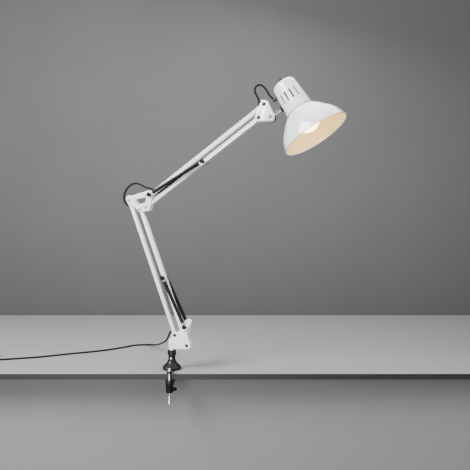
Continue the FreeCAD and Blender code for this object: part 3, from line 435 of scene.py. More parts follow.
class Paints:
    """Makes each material once."""

    def __init__(self) -> None:
        """Starts with no material made."""
        self.made: dict[Finish, bpy.types.Material] = {}
        self.group = self.grain_group()

    @staticmethod
    def grain_group() -> bpy.types.NodeTree:
        """The shared effect: two sizes of noise that vary a colour and a roughness and raise a fine grain.

        Returns:
            The node group.
        """
        tree = bpy.data.node_groups.new("surface_grain", "ShaderNodeTree")
        colour, number = "NodeSocketColor", "NodeSocketFloat"
        for name in ("Color", "Worn Color", "Wear", "Roughness", "Spread", "Grain Scale", "Patch Scale"):
            kind = colour if name.endswith("Color") else number
            tree.interface.new_socket(name, in_out="INPUT", socket_type=kind)
        for name, kind in {"Color": colour, "Roughness": number, "Height": number}.items():
            tree.interface.new_socket(name, in_out="OUTPUT", socket_type=kind)
        new, link = tree.nodes.new, tree.links.new
        source, sink, where = new("NodeGroupInput"), new("NodeGroupOutput"), new("ShaderNodeTexCoord")
        fine, broad = new("ShaderNodeTexNoise"), new("ShaderNodeTexNoise")
        for noise, socket, detail in ((fine, "Grain Scale", 3.0), (broad, "Patch Scale", 5.0)):
            link(where.outputs["Object"], noise.inputs["Vector"])
            link(source.outputs[socket], noise.inputs["Scale"])
            noise.inputs["Detail"].default_value = detail
        patch = new("ShaderNodeMapRange")
        patch.inputs["From Min"].default_value = 0.42
        patch.inputs["From Max"].default_value = 0.72
        link(broad.outputs["Fac"], patch.inputs["Value"])
        share, mix = new("ShaderNodeMath"), new("ShaderNodeMix")
        share.operation = "MULTIPLY"
        link(patch.outputs["Result"], share.inputs[0])
        link(source.outputs["Wear"], share.inputs[1])
        mix.data_type = "RGBA"
        link(share.outputs[0], mix.inputs["Factor"])
        link(source.outputs["Color"], mix.inputs["A"])
        link(source.outputs["Worn Color"], mix.inputs["B"])
        link(mix.outputs["Result"], sink.inputs["Color"])
        rough, centred = new("ShaderNodeMath"), new("ShaderNodeMath")
        centred.operation, centred.inputs[1].default_value = "SUBTRACT", 0.5
        link(broad.outputs["Fac"], centred.inputs[0])
        rough.operation = "MULTIPLY_ADD"
        link(centred.outputs[0], rough.inputs[0])
        link(source.outputs["Spread"], rough.inputs[1])
        link(source.outputs["Roughness"], rough.inputs[2])
        link(rough.outputs[0], sink.inputs["Roughness"])
        link(fine.outputs["Fac"], sink.inputs["Height"])
        return tree

    def get(self, finish: Finish) -> bpy.types.Material:
        """The material of a finish, made when it is first asked for.

        Args:
            finish: which one.

        Returns:
            The material.
        """
        if finish in self.made:
            return self.made[finish]
        recipe = RECIPES[finish]
        material = bpy.data.materials.new(finish.value)
        material.use_nodes = True
        tree = material.node_tree
        shader = tree.nodes["Principled BSDF"]
        effect = tree.nodes.new("ShaderNodeGroup")
        effect.node_tree = self.group
        values = {"Color": (*recipe.color, 1), "Worn Color": (*recipe.worn, 1), "Wear": recipe.wear,
                  "Roughness": recipe.roughness, "Spread": recipe.spread, "Grain Scale": recipe.grain,
                  "Patch Scale": recipe.patch}
        for name, number in values.items():
            effect.inputs[name].default_value = number
        tree.links.new(effect.outputs["Color"], shader.inputs["Base Color"])
        tree.links.new(effect.outputs["Roughness"], shader.inputs["Roughness"])
        raised = tree.nodes.new("ShaderNodeBump")
        raised.inputs["Strength"].default_value = recipe.bump
        raised.inputs["Distance"].default_value = recipe.depth
        tree.links.new(effect.outputs["Height"], raised.inputs["Height"])
        tree.links.new(raised.outputs["Normal"], shader.inputs["Normal"])
        shader.inputs["Metallic"].default_value = recipe.metallic
        shader.inputs["Coat Weight"].default_value = recipe.coat
        shader.inputs["Specular IOR Level"].default_value = recipe.specular
        shader.inputs["Coat Roughness"].default_value = 0.08
        shader.inputs["Emission Color"].default_value = (*recipe.glow, 1)
        shader.inputs["Emission Strength"].default_value = recipe.glow_strength
        self.made[finish] = material
        return material

    def wear(self, obj: bpy.types.Object, finish: Finish) -> bpy.types.Object:
        """Gives a whole piece one finish.

        Args:
            obj: the piece.
            finish: its finish.

        Returns:
            The piece.
        """
        obj.data.materials.clear()
        obj.data.materials.append(self.get(finish))
        return obj


PAINTS = Paints()


def arc(start: Spot, end: Spot, radius: float, steps: int) -> list[Spot]:
    """Points on the arc that bulges right of the way from start to end, or left if radius is negative.

    Args:
        start: its first point.
        end: its last point.
        radius: its radius.
        steps: how many steps it takes.

    Returns:
        The points, both ends among them.
    """
    a, b = Vector(start), Vector(end)
    way = b - a
    side = Vector((way.y, -way.x)).normalized() * math.copysign(1, radius)
    centre = (a + b) / 2 - side * math.sqrt(max(radius ** 2 - (way.length / 2) ** 2, 0.0))
    first = math.atan2(a.y - centre.y, a.x - centre.x)
    turn = math.remainder(math.atan2(b.y - centre.y, b.x - centre.x) - first, 2 * math.pi)
    reach = abs(radius)
    angles = [first + turn * i / steps for i in range(steps + 1)]
    return [(centre.x + reach * math.cos(t), centre.y + reach * math.sin(t)) for t in angles]


def ring(radius: float, wire: float, height: float = 0.0, steps: int = 16) -> list[Spot]:
    """A closed round section for a lathe.

    Args:
        radius: from the axis to the section's middle.
        wire: the section's radius.
        height: the section's height.
        steps: its corners.

    Returns:
        The profile.
    """
    turns = [2 * math.pi * i / steps for i in range(steps + 1)]
    return [(radius + wire * math.cos(t), height + wire * math.sin(t)) for t in turns]


class Assembly:
    """Pieces that ride on the frame's bodies."""

    def put(self, obj: bpy.types.Object, finish: Finish | None, body: str, *nodes: str) -> bpy.types.Object:
        """Finishes a piece, lets it ride and takes its CAD nodes away.

        Args:
            obj: the piece.
            finish: its finish, or None where it has its own.
            body: the body that it rides on.
            nodes: the CAD nodes that it stands for.

        Returns:
            The piece.
        """
        if finish:
            PAINTS.wear(obj, finish)
        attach(obj, body)
        if nodes:
            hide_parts(*nodes)
        LOG.info("%s: %s rides on %s", type(self).__name__, obj.name, body)
        return obj

    def piece(self, name: str, bm: bmesh.types.BMesh, at: Matrix, finish: Finish, body: str,
              *nodes: str) -> bpy.types.Object:
        """Makes a piece from a mesh drawn in millimetres and puts it in its place.

        Args:
            name: the piece's name.
            bm: the mesh, which is freed.
            at: the frame that it was drawn in.
            finish: its finish.
            body: its body.
            nodes: the CAD nodes that it stands for.

        Returns:
            The piece.
        """
        return self.put(Shop.finish_mesh(name, bm, at), finish, body, *nodes)

    def refine(self, node: str, finish: Finish, body: str, round_by: float) -> bpy.types.Object:
        """Puts a CAD node's rounded surface in its place.

        Args:
            node: the CAD node.
            finish: its finish.
            body: its body.
            round_by: the edge radius in millimetres.

        Returns:
            The piece.
        """
        return self.put(Shop.refined(node, round_by), finish, body)

    def bolt(self, bm: bmesh.types.BMesh, at: Vector, face: float = 6.8) -> None:
        """A domed socket head in front, the shank, and a hexagon nut behind.

        Args:
            bm: the mesh to add to.
            at: the pivot in millimetres.
            face: the middle plane to the plates' outer face.
        """
        head = [(4.3, 0.0), (4.35, 0.25), (4.35, 1.0), *arc((4.35, 1.0), (2.0, 3.2), 3.0, 6)[1:], (1.7, 3.05),
                (1.6, 1.5), (0.0, 1.4)]
        Shop.lathe(bm, [(0.0, 0.0), *head], axis_frame(at + Vector((0, -face, 0)), (0, -1, 0)), 32)
        Shop.lathe(bm, [(2.5, 0.0), (2.5, 2 * face)], axis_frame(at + Vector((0, -face, 0)), (0, 1, 0)), 24)
        corners = [math.radians(60 * k) for k in range(6)]
        hexagon = [(4.3 * math.cos(t), 4.3 * math.sin(t)) for t in corners]
        Shop.prism(bm, hexagon, 2.6, axis_frame(at + Vector((0, face, 0)), (0, 1, 0)), 0.3)
        tip = [(2.5, 0.0), (2.5, 2.8), (2.1, 3.2), (0.0, 3.2)]
        Shop.lathe(bm, tip, axis_frame(at + Vector((0, face, 0)), (0, 1, 0)), 24)

    def bolts(self, name: str, finish: Finish, body: str, spots: Sequence[Vector]) -> None:
        """The pivot bolts of one bracket.

        Args:
            name: the CAD node that they stand for.
            finish: their finish.
            body: their body.
            spots: their pivots.
        """
        bm = bmesh.new()
        for spot in spots:
            self.bolt(bm, Vector(spot))
        self.piece(name + "_skin", bm, Matrix(), finish, body, name)

    def spools(self, name: str, body: str, at: Vector, face: float) -> None:
        """The two capped spools that a spring pair hangs on.

        Args:
            name: the CAD node that they stand for.
            body: their body.
            at: their middle.
            face: the middle plane to the face that they stand on.
        """
        bm = bmesh.new()
        profile = [(0.0, face), (3.6, face), (3.7, face + 0.1), (3.7, 12.45), (5.4, 12.5), (5.5, 12.65),
                   (5.5, 15.25), *arc((5.5, 15.25), (3.9, 16.45), 1.8, 4)[1:], (3.2, 16.45), (2.9, 16.15),
                   (2.8, 15.65), (0.0, 15.55)]
        for way in (-1, 1):
            Shop.lathe(bm, profile, axis_frame(at, (0, way, 0)), 40)
        self.piece(name + "_skin", bm, Matrix(), Finish.PLASTIC, body, name)


@dataclass
class Clamp(Assembly):
    """The table clamp and its socket."""

    flange: float = 24.0
    column: float = 10.6
    height: float = 50.0
    thread_pitch: float = 1.0

    def build(self) -> None:
        """Makes the casting, pads, rod, lower jaw and wing nut."""
        self.casting()
        self.screws()
        self.jaw()
        self.wing()

    def casting(self) -> None:
        """The flange with its flared socket and the nose that holds the rod."""
        bm = bmesh.new()
        edge = arc((self.flange, 5.5), (self.flange - 4.5, 10.0), 4.5, 8)
        flare = arc((18.5, 13.0), (self.column + 1, 40.0), -20.0, 12)
        profile = [(7.0, 2.0), (23.4, 2.0), (self.flange, 2.6), *edge, *flare, (self.column, 46.0),
                   (self.column, 48.9), (self.column - 0.4, 49.7), (self.column - 1.0, self.height),
                   (7.0, self.height)]
        Shop.lathe(bm, profile, Matrix(), 96)
        nose = [(-5, -50), (5, -50), (5, -18), (-5, -18)]
        Shop.prism(bm, nose, 5.0, Matrix.Translation((0, 0, 2)), 0.9)
        boss = [(3.8, 2.0), (6.0, 2.0), (6.5, 2.5), (6.5, 6.3), (5.8, 7.0), (3.8, 7.0), (3.8, 2.0)]
        Shop.lathe(bm, boss, Matrix.Translation((0, -LAYOUT.rod_forward, 0)), 40)
        self.piece("casting", bm, LAYOUT.clamp, Finish.CASTING, "clamp", "upper_jaw")
        self.refine("upper_pad", Finish.RUBBER, "clamp", 0.4)
        self.refine("socket_bush", Finish.NYLON, "clamp", 0.2)

    def screws(self) -> None:
        """The bright lock screw and the clamp's rod with its thread."""
        bm = bmesh.new()
        dome = [(0.0, 0.0), (2.9, 0.0), (2.9, 8.9), (3.4, 9.1), (3.6, 9.5), (3.6, 10.4),
                *arc((3.6, 10.4), (0.0, 11.2), 9.0, 5)[1:]]
        Shop.lathe(bm, dome, axis_frame((0, -6.3, 31), (0, -1, 0)), 40)
        self.piece("lock_screw_skin", bm, LAYOUT.clamp, Finish.BRIGHT, "clamp", "lock_screw")
        bm = bmesh.new()
        profile = [(0.0, 15.0), (3.0, 15.0), (3.9, 14.5), (4.3, 13.6), (4.3, 7.5), (3.9, 7.0), (3.75, 7.0),
                   (3.75, -15.4), (3.1, -16.0)]
        low = -16.6
        while low > -74.0:
            profile += [(2.5, low), (2.5, low - 0.15), (2.05, low - self.thread_pitch / 2)]
            low -= self.thread_pitch
        profile += [(2.3, -74.4), (1.8, -75.0), (0.0, -75.0)]
        at = LAYOUT.clamp @ Matrix.Translation((0, -LAYOUT.rod_forward, 0))
        Shop.lathe(bm, profile, Matrix(), 32)
        self.piece("clamp_rod_skin", bm, at, Finish.BRIGHT, "clamp", "clamp_rod")

    def jaw(self) -> None:
        """The sliding jaw and its pad."""
        self.refine("lower_jaw", Finish.CASTING, "jaw", 1.0)
        self.refine("lower_pad", Finish.RUBBER, "jaw", 0.4)

    def wing(self) -> None:
        """The wing nut."""
        bm = bmesh.new()
        hub = [(2.6, 0.0), (9.1, 0.0), (9.6, -0.5), (9.2, -8.0), (8.7, -16.8), (7.9, -17.8), (2.6, -18.0),
               (2.6, 0.0)]
        Shop.lathe(bm, hub, Matrix(), 40)
        outline = [(4, -15), (13, -14.6), (17.2, -13.8), (18.5, -11.6), (18.3, -8.4), (16.6, -6.4), (12, -6),
                   (4, -6.4)]
        side = Matrix.Translation((0, 3, 0)) @ Matrix.Rotation(math.radians(90), 4, "X")
        Shop.prism(bm, outline, 6.0, side, 1.3)
        at = LAYOUT.clamp @ Matrix.Translation((0, -LAYOUT.rod_forward, -27.55)) @ Matrix.Rotation(
            math.radians(15), 4, "Z")
        self.piece("wing_nut_skin", bm, at, Finish.PLASTIC, "wing", "wing_nut")


@dataclass
class Brackets(Assembly):
    """The base, elbow and wrist brackets with their fasteners."""

    plate_round: float = 0.35

    def build(self) -> None:
        """Makes the three plate pairs and what holds them."""
        for name in ("base", "elbow", "wrist"):
            for side in ("front", "rear"):
                self.refine(f"{name}_plate_{side}", Finish.WHITE, name, self.plate_round)
            self.refine(f"{name}_washers", Finish.NYLON, name, 0.0)
        self.refine("base_post", Finish.WHITE, "base", 0.5)
        self.bolts("base_pivot_bolts", Finish.BLACKED, "base", (LAYOUT.base_rear, LAYOUT.base_front))
        elbow = (LAYOUT.elbow_rear, LAYOUT.elbow_front, LAYOUT.elbow_low)
        self.bolts("elbow_pivot_bolts", Finish.STEEL, "elbow", elbow)
        self.bolts("wrist_pivot_bolts", Finish.BLACKED, "wrist", (LAYOUT.wrist_top, LAYOUT.wrist_low))
        self.spools("base_spring_anchors", "base", Vector(LAYOUT.anchor), 6.8)
        self.spools("elbow_spring_pin", "elbow", LAYOUT.elbow_top, 6.8)


@dataclass
class Arms(Assembly):
    """The four square tubes with their bushes and leads."""

    cord_hole: float = 12.0

    def build(self) -> None:
        """Makes both parallelograms."""
        for node, body in (("lower_tube_rear", "lower_back"), ("lower_tube_front", "lower_front"),
                           ("upper_tube_top", "upper_top"), ("upper_tube_bottom", "upper_bottom")):
            self.refine(node, Finish.WHITE, body, 0.15)
        for name, body, at, degrees in (
            ("lower", "lower_back", LAYOUT.base_rear, LAYOUT.lower_lean),
            ("upper", "upper_top", LAYOUT.elbow_top, LAYOUT.upper_lift),
        ):
            self.bushes(name, body, LAYOUT.place(at, degrees))
            self.refine(f"{name}_inner_lead", Finish.LEAD, body, 0.0)

    def bushes(self, name: str, body: str, at: Matrix) -> None:
        """The two bushes of one tube.

        Args:
            name: the arm.
            body: its body.
            at: the tube's frame.
        """
        bm = bmesh.new()
        for reach in (self.cord_hole, LAYOUT.arm - self.cord_hole):
            profile = [(2.55, 4.0), (2.9, 4.0), (2.9, 5.0), (3.9, 5.0), (4.0, 5.4), (3.7, 6.3), (3.2, 7.4),
                       (2.6, 7.5), (2.55, 4.0)]
            Shop.lathe(bm, profile, Matrix.Translation((reach, 0, 0)), 32)
        self.piece(f"{name}_bushes", bm, at, Finish.RUBBER, body, f"{name}_cord_bushes")


@dataclass
class SpringPair(Assembly):
    """The sleeves, coils and hooks of one arm."""

    name: str
    pin: Vector
    anchor: Vector
    sleeve_start: float = 11.0
    sleeve_stop: float = 12.0
    shank: float = 26.0
    wire: float = 0.75
    eye: float = 4.75
    coil: float = 2.55

    def build(self) -> None:
        """Makes both springs of the pair."""
        line = self.anchor - self.pin
        self.reach = line.length
        self.at = LAYOUT.place(self.pin, math.degrees(math.atan2(line.z, line.x)))
        self.sleeves()
        self.wires()
        body = {"lower": "lower_front", "upper": "upper_bottom"}[self.name]
        self.spools(f"{self.name}_spring_pin", body, self.pin, 5.05)

    def sleeves(self) -> None:
        """The black tubes round the coils, with a thicker lip at each end."""
        bm = bmesh.new()
        long = self.reach - self.sleeve_start - self.sleeve_stop
        profile = [(3.5, 0.0), (4.1, 0.0), (4.4, 0.3), (4.4, 3.0), (4.25, 3.3), (4.25, long - 3.3),
                   (4.4, long - 3.0), (4.4, long - 0.3), (4.1, long), (3.5, long), (3.5, 0.0)]
        for side in (-1, 1):
            start = (self.sleeve_start, side * LAYOUT.spring_line, 0)
            Shop.lathe(bm, profile, axis_frame(start, (1, 0, 0)), 40)
        piece = Shop.finish_mesh(f"{self.name}_sleeves", bm, self.at)
        self.put(piece, Finish.PLASTIC, f"{self.name}_spring", f"{self.name}_spring_sleeves")

    def wires(self) -> None:
        """The wound coils with their eyes, and the long hooks."""
        end = self.reach - self.sleeve_stop - self.shank - 8.0
        turns = int((end - self.sleeve_start) / (2 * self.wire * 1.03))
        for kind, body in (("springs", f"{self.name}_spring"), ("spring_hooks", f"{self.name}_hook")):
            bm = bmesh.new()
            for side in (-1, 1):
                y = side * LAYOUT.spring_line
                if kind == "springs":
                    path = self.eye_path(0.0, 1, y) + [Vector((self.sleeve_start - 1.5, y, 0))]
                    steps = turns * 12
                    for i in range(steps + 1):
                        t = 2 * math.pi * i / 12
                        x = self.sleeve_start + (end - self.sleeve_start) * i / steps
                        path.append(Vector((x, y + self.coil * math.sin(t), self.coil * math.cos(t))))
                else:
                    stop = self.reach - self.sleeve_stop - self.shank
                    path = self.eye_path(self.reach, -1, y) + [Vector((stop, y, 0))]
                piece = Shop.sweep("wire", [p * MM for p in path], self.wire * MM, True)
                bmesh_part = bmesh.new()
                bmesh_part.from_mesh(piece.data)
                bpy.data.objects.remove(piece)
                Shop.merge(bm, bmesh_part, Matrix.Scale(1 / MM, 4))
            made = Shop.finish_mesh(f"{self.name}_{kind}_wire", bm, self.at, 50.0)
            self.put(made, Finish.SPRING, body, f"{self.name}_{kind}")

    def eye_path(self, x: float, way: int, y: float) -> list[Vector]:
        """The loop round a spool, ending where its shank starts.

        Args:
            x: the spool's place along the spring.
            way: 1 where the shank leaves towards +X, else -1.
            y: the spring's side.

        Returns:
            The path's points.
        """
        turns = [math.radians(30 + 330 * i / 24) for i in range(25)]
        loop = [Vector((x + way * self.eye * math.cos(t), y, self.eye * math.sin(t))) for t in turns]
        return loop + [Vector((x + way * (self.eye + 1.2), y, 0.0))]


@dataclass
class Wrist(Assembly):
    """The tilt joint: its bolt, knob, eye and rod."""

    flutes: int = 12

    def build(self) -> None:
        """Makes the tilt joint's pieces."""
        tilt = LAYOUT.tilt
        bm = bmesh.new()
        head = [(0.0, 0.0), (5.3, 0.0), (5.5, 0.3), (5.5, 0.8), (5.1, 1.2), (0.0, 1.25)]
        Shop.lathe(bm, head, axis_frame(tilt + Vector((0, -6.8, 0)), (0, -1, 0)), 48)
        self.piece("tilt_bolt_skin", bm, Matrix(), Finish.BRIGHT, "wrist", "tilt_bolt")
        # Two flat black discs on the bolt head are painted shade for its two holes; no holes are cut.
        bm = bmesh.new()
        for height in (-2.2, 2.2):
            hole = [(0.0, 0.0), (0.95, 0.0), (0.95, 0.06), (0.0, 0.06)]
            Shop.lathe(bm, hole, axis_frame(tilt + Vector((0, -8.0, height)), (0, -1, 0)), 20)
        self.piece("tilt_bolt_hole_shade", bm, Matrix(), Finish.RUBBER, "wrist")
        self.turn_knob(tilt)
        self.refine("head_rod", Finish.BRIGHT, "knuckle", 0.4)
        self.refine("rod_nut", Finish.STEEL, "knuckle", 0.3)

    def turn_knob(self, tilt: Vector) -> None:
        """The fluted black knob behind the bracket.

        Args:
            tilt: the tilt pivot.
        """
        bm = bmesh.new()
        profile = [(2.6, 0.0), (4.8, 0.0), (5.0, 0.4), (5.0, 3.0), (8.2, 3.2), (9.0, 4.0), (9.0, 10.6),
                   (8.2, 11.7), (6.5, 12.0), (6.0, 11.6), (0.0, 11.5)]
        Shop.lathe(bm, profile, Matrix(), 96)
        for vert in bm.verts:
            reach = math.hypot(vert.co.x, vert.co.y)
            if reach > 8.0:
                dent = 1 - 0.035 * (1 + math.cos(self.flutes * math.atan2(vert.co.y, vert.co.x)))
                vert.co.x *= dent
                vert.co.y *= dent
        at = axis_frame(tilt + Vector((0, 6.85, 0)), (0, 1, 0))
        self.piece("tilt_knob_skin", bm, at, Finish.PLASTIC, "knob", "tilt_knob")


@dataclass
class Head(Assembly):
    """The shade, housing, bulb, switch and fittings."""

    rim: float = 82.0
    neck: float = 31.5
    shade_height: float = 75.0
    top: float = 152.0
    bulb: float = 30.0
    bulb_tip: float = 12.0

    def build(self) -> None:
        """Makes the head's pieces."""
        self.shade()
        # The housing's inner faces take the black plastic finish as painted shade, so that its slots look
        # dark.
        self.two_sided(self.refine("housing", Finish.WHITE, "head", 0.25), Finish.PLASTIC, 0.0)
        self.lamp()
        self.switch()
        self.fittings()

    def shade(self) -> None:
        """The spun shade with its rolled rim; its inside is cream paint made a deeper yellow as painted warm
        light from the lit bulb.
        """
        bm = bmesh.new()
        knee, high = (self.rim - 24, 45.0), self.shade_height
        outside = [(self.rim, 0.0), *arc((self.rim - 1, 3), knee, 78, 20),
                   *arc(knee, (self.neck, high - 4), 95, 14)[1:], (self.neck, high - 0.4),
                   (self.neck - 0.4, high), (19.3, high), (19.3, high - 1)]
        knee = (self.rim - 24.75, 44.3)
        inside = [(self.neck - 1, high - 1), *arc((self.neck - 1, high - 4.6), knee, -94, 14),
                  *arc(knee, (self.rim - 2, 3), -77, 20)[1:], (self.rim - 1, 0.0)]
        Shop.lathe(bm, outside + inside + [(self.rim, 0.0)], Matrix(), 128)
        Shop.lathe(bm, ring(self.rim - 0.5, 1.3), Matrix(), 128)
        obj = Shop.finish_mesh("shade_skin", bm, LAYOUT.head)
        obj.data.materials.append(PAINTS.get(Finish.SHADE_OUTSIDE))
        # The inner faces take the inside finish: cream paint with painted warm bulb light.
        self.two_sided(obj, Finish.SHADE_INSIDE_CREAM_AND_PAINTED_LIGHT, 2.0)
        self.put(obj, None, "head", "shade")
        self.refine("shade_ring", Finish.PLASTIC, "head", 0.3)

    def two_sided(self, obj: bpy.types.Object, inside: Finish, above: float) -> None:
        """Gives the faces that look at the head's axis a second finish: black as painted shade on the
        housing, and cream paint with painted warm bulb light in the shade.

        Args:
            obj: the piece, which has its outside finish.
            inside: the finish of its inner faces.
            above: how far up the axis the inner faces start, in millimetres.
        """
        obj.data.materials.append(PAINTS.get(inside))
        back = LAYOUT.head.inverted()
        for face in obj.data.polygons:
            middle = back @ (obj.matrix_world @ face.center / MM)
            normal = back.to_3x3() @ (obj.matrix_world.to_3x3() @ face.normal)
            level = math.hypot(middle.x, middle.y) * 0.5
            face.material_index = int(normal.x * middle.x + normal.y * middle.y < -level and middle.z > above)

    def lamp(self) -> None:
        """The bulb with its cap in the holder."""
        bm = bmesh.new()
        middle = self.bulb_tip + self.bulb
        ball = arc((0.0, self.bulb_tip), (self.bulb, middle), self.bulb, 16)
        waist = (self.bulb * 0.55, middle + self.bulb * 0.65)
        shoulder = arc((self.bulb, middle), waist, self.bulb, 8)
        neck = arc(waist, (13.0, self.bulb_tip + 80), -66, 10)
        Shop.lathe(bm, ball + shoulder[1:] + neck[1:], Matrix(), 64)
        self.piece("bulb_glass_skin", bm, LAYOUT.head, Finish.GLASS, "head", "bulb_glass")
        bm = bmesh.new()
        profile = [(12.6, 92.0)]
        for k in range(7):
            profile += [(13.2, 93.5 + 3.3 * k), (12.5, 95.1 + 3.3 * k)]
        Shop.lathe(bm, profile + [(9.0, 117.0), (4.0, 120.0), (0.0, 120.0)], Matrix(), 40)
        self.piece("bulb_cap_skin", bm, LAYOUT.head, Finish.STEEL, "head", "bulb_cap")
        self.refine("lamp_holder", Finish.PLASTIC, "head", 0.4)
        self.refine("socket_shell", Finish.BRASS, "head", 0.0)

    def switch(self) -> None:
        """The collar and button in the dome."""
        bm = bmesh.new()
        collar = [(3.4, 0.0), (5.5, 0.0), (5.5, 1.2), (5.0, 1.9), (4.2, 2.0), (3.5, 1.7), (3.4, 0.0)]
        Shop.lathe(bm, [(r, z + self.top + 0.1) for r, z in collar], Matrix(), 40)
        self.piece("switch_collar_skin", bm, LAYOUT.head, Finish.PLASTIC, "head", "switch_collar")
        bm = bmesh.new()
        button = [(0.0, -0.6), (1.5, -0.6), (1.5, 0.3), (3.2, 0.3), (3.2, 10.8), (2.8, 11.6), (2.2, 11.95),
                  (0.0, 12.0)]
        Shop.lathe(bm, [(r, z + self.top) for r, z in button], Matrix(), 40)
        self.piece("switch_button_skin", bm, LAYOUT.head, Finish.PLASTIC, "switch", "switch_button")

    def fittings(self) -> None:
        """The rod's collar and the lead's right-angled relief."""
        self.refine("rod_collar", Finish.PLASTIC, "head", 0.5)
        self.refine("head_relief", Finish.RUBBER, "head", 0.3)


ELBOW_LOOP: list[Point] = [
    (-128.4, 0.0, 424.9), (-136.5, 0.0, 428.5), (-141.8, 0.0, 437.5), (-143.3, 0.0, 449.0),
    (-139.8, 0.0, 461.0), (-132.0, 0.0, 472.0), (-121.0, 0.0, 480.5), (-108.5, 0.0, 484.0),
    (-96.5, 0.0, 481.5), (-84.5, 0.0, 475.0), (-74.0, 0.0, 470.3), (-64.5, 0.0, 468.6),
    (-56.0, 0.0, 466.0),
]
WRIST_LOOP: list[Point] = [
    (234.8, 0.0, 662.9), (236.3, 0.0, 671.5), (232.0, 0.0, 681.0), (225.5, 0.0, 692.5),
    (224.5, 0.0, 703.5), (232.0, 0.0, 711.5), (242.5, 0.0, 710.0), (251.5, 0.0, 701.0),
    (258.0, 0.0, 690.0), (263.6, 0.0, 680.6), (270.6, 0.0, 673.8),
]
MAINS: list[Point] = [
    (-1.3, 0.0, 97.6), (-9.0, 4.0, 91.0), (-17.0, 13.5, 81.0), (-26.5, 27.0, 71.5),
    (-38.5, 42.0, 63.0), (-55.0, 63.0, 54.0), (-79.0, 95.0, 43.0), (-106.0, 131.0, 31.0),
    (-142.0, 176.0, 17.0), (-180.0, 220.0, 6.0), (-208.0, 231.0, 2.5), (-237.0, 213.0, 2.5),
    (-250.0, 178.0, 2.5), (-272.0, 134.0, 2.5), (-300.0, 96.0, 2.5), (-334.0, 63.0, 2.5),
    (-371.0, 22.0, 2.5), (-408.0, -20.0, 2.5), (-450.0, -52.0, 2.5), (-494.0, -86.0, 2.5),
    (-530.0, -96.0, 2.5),
]


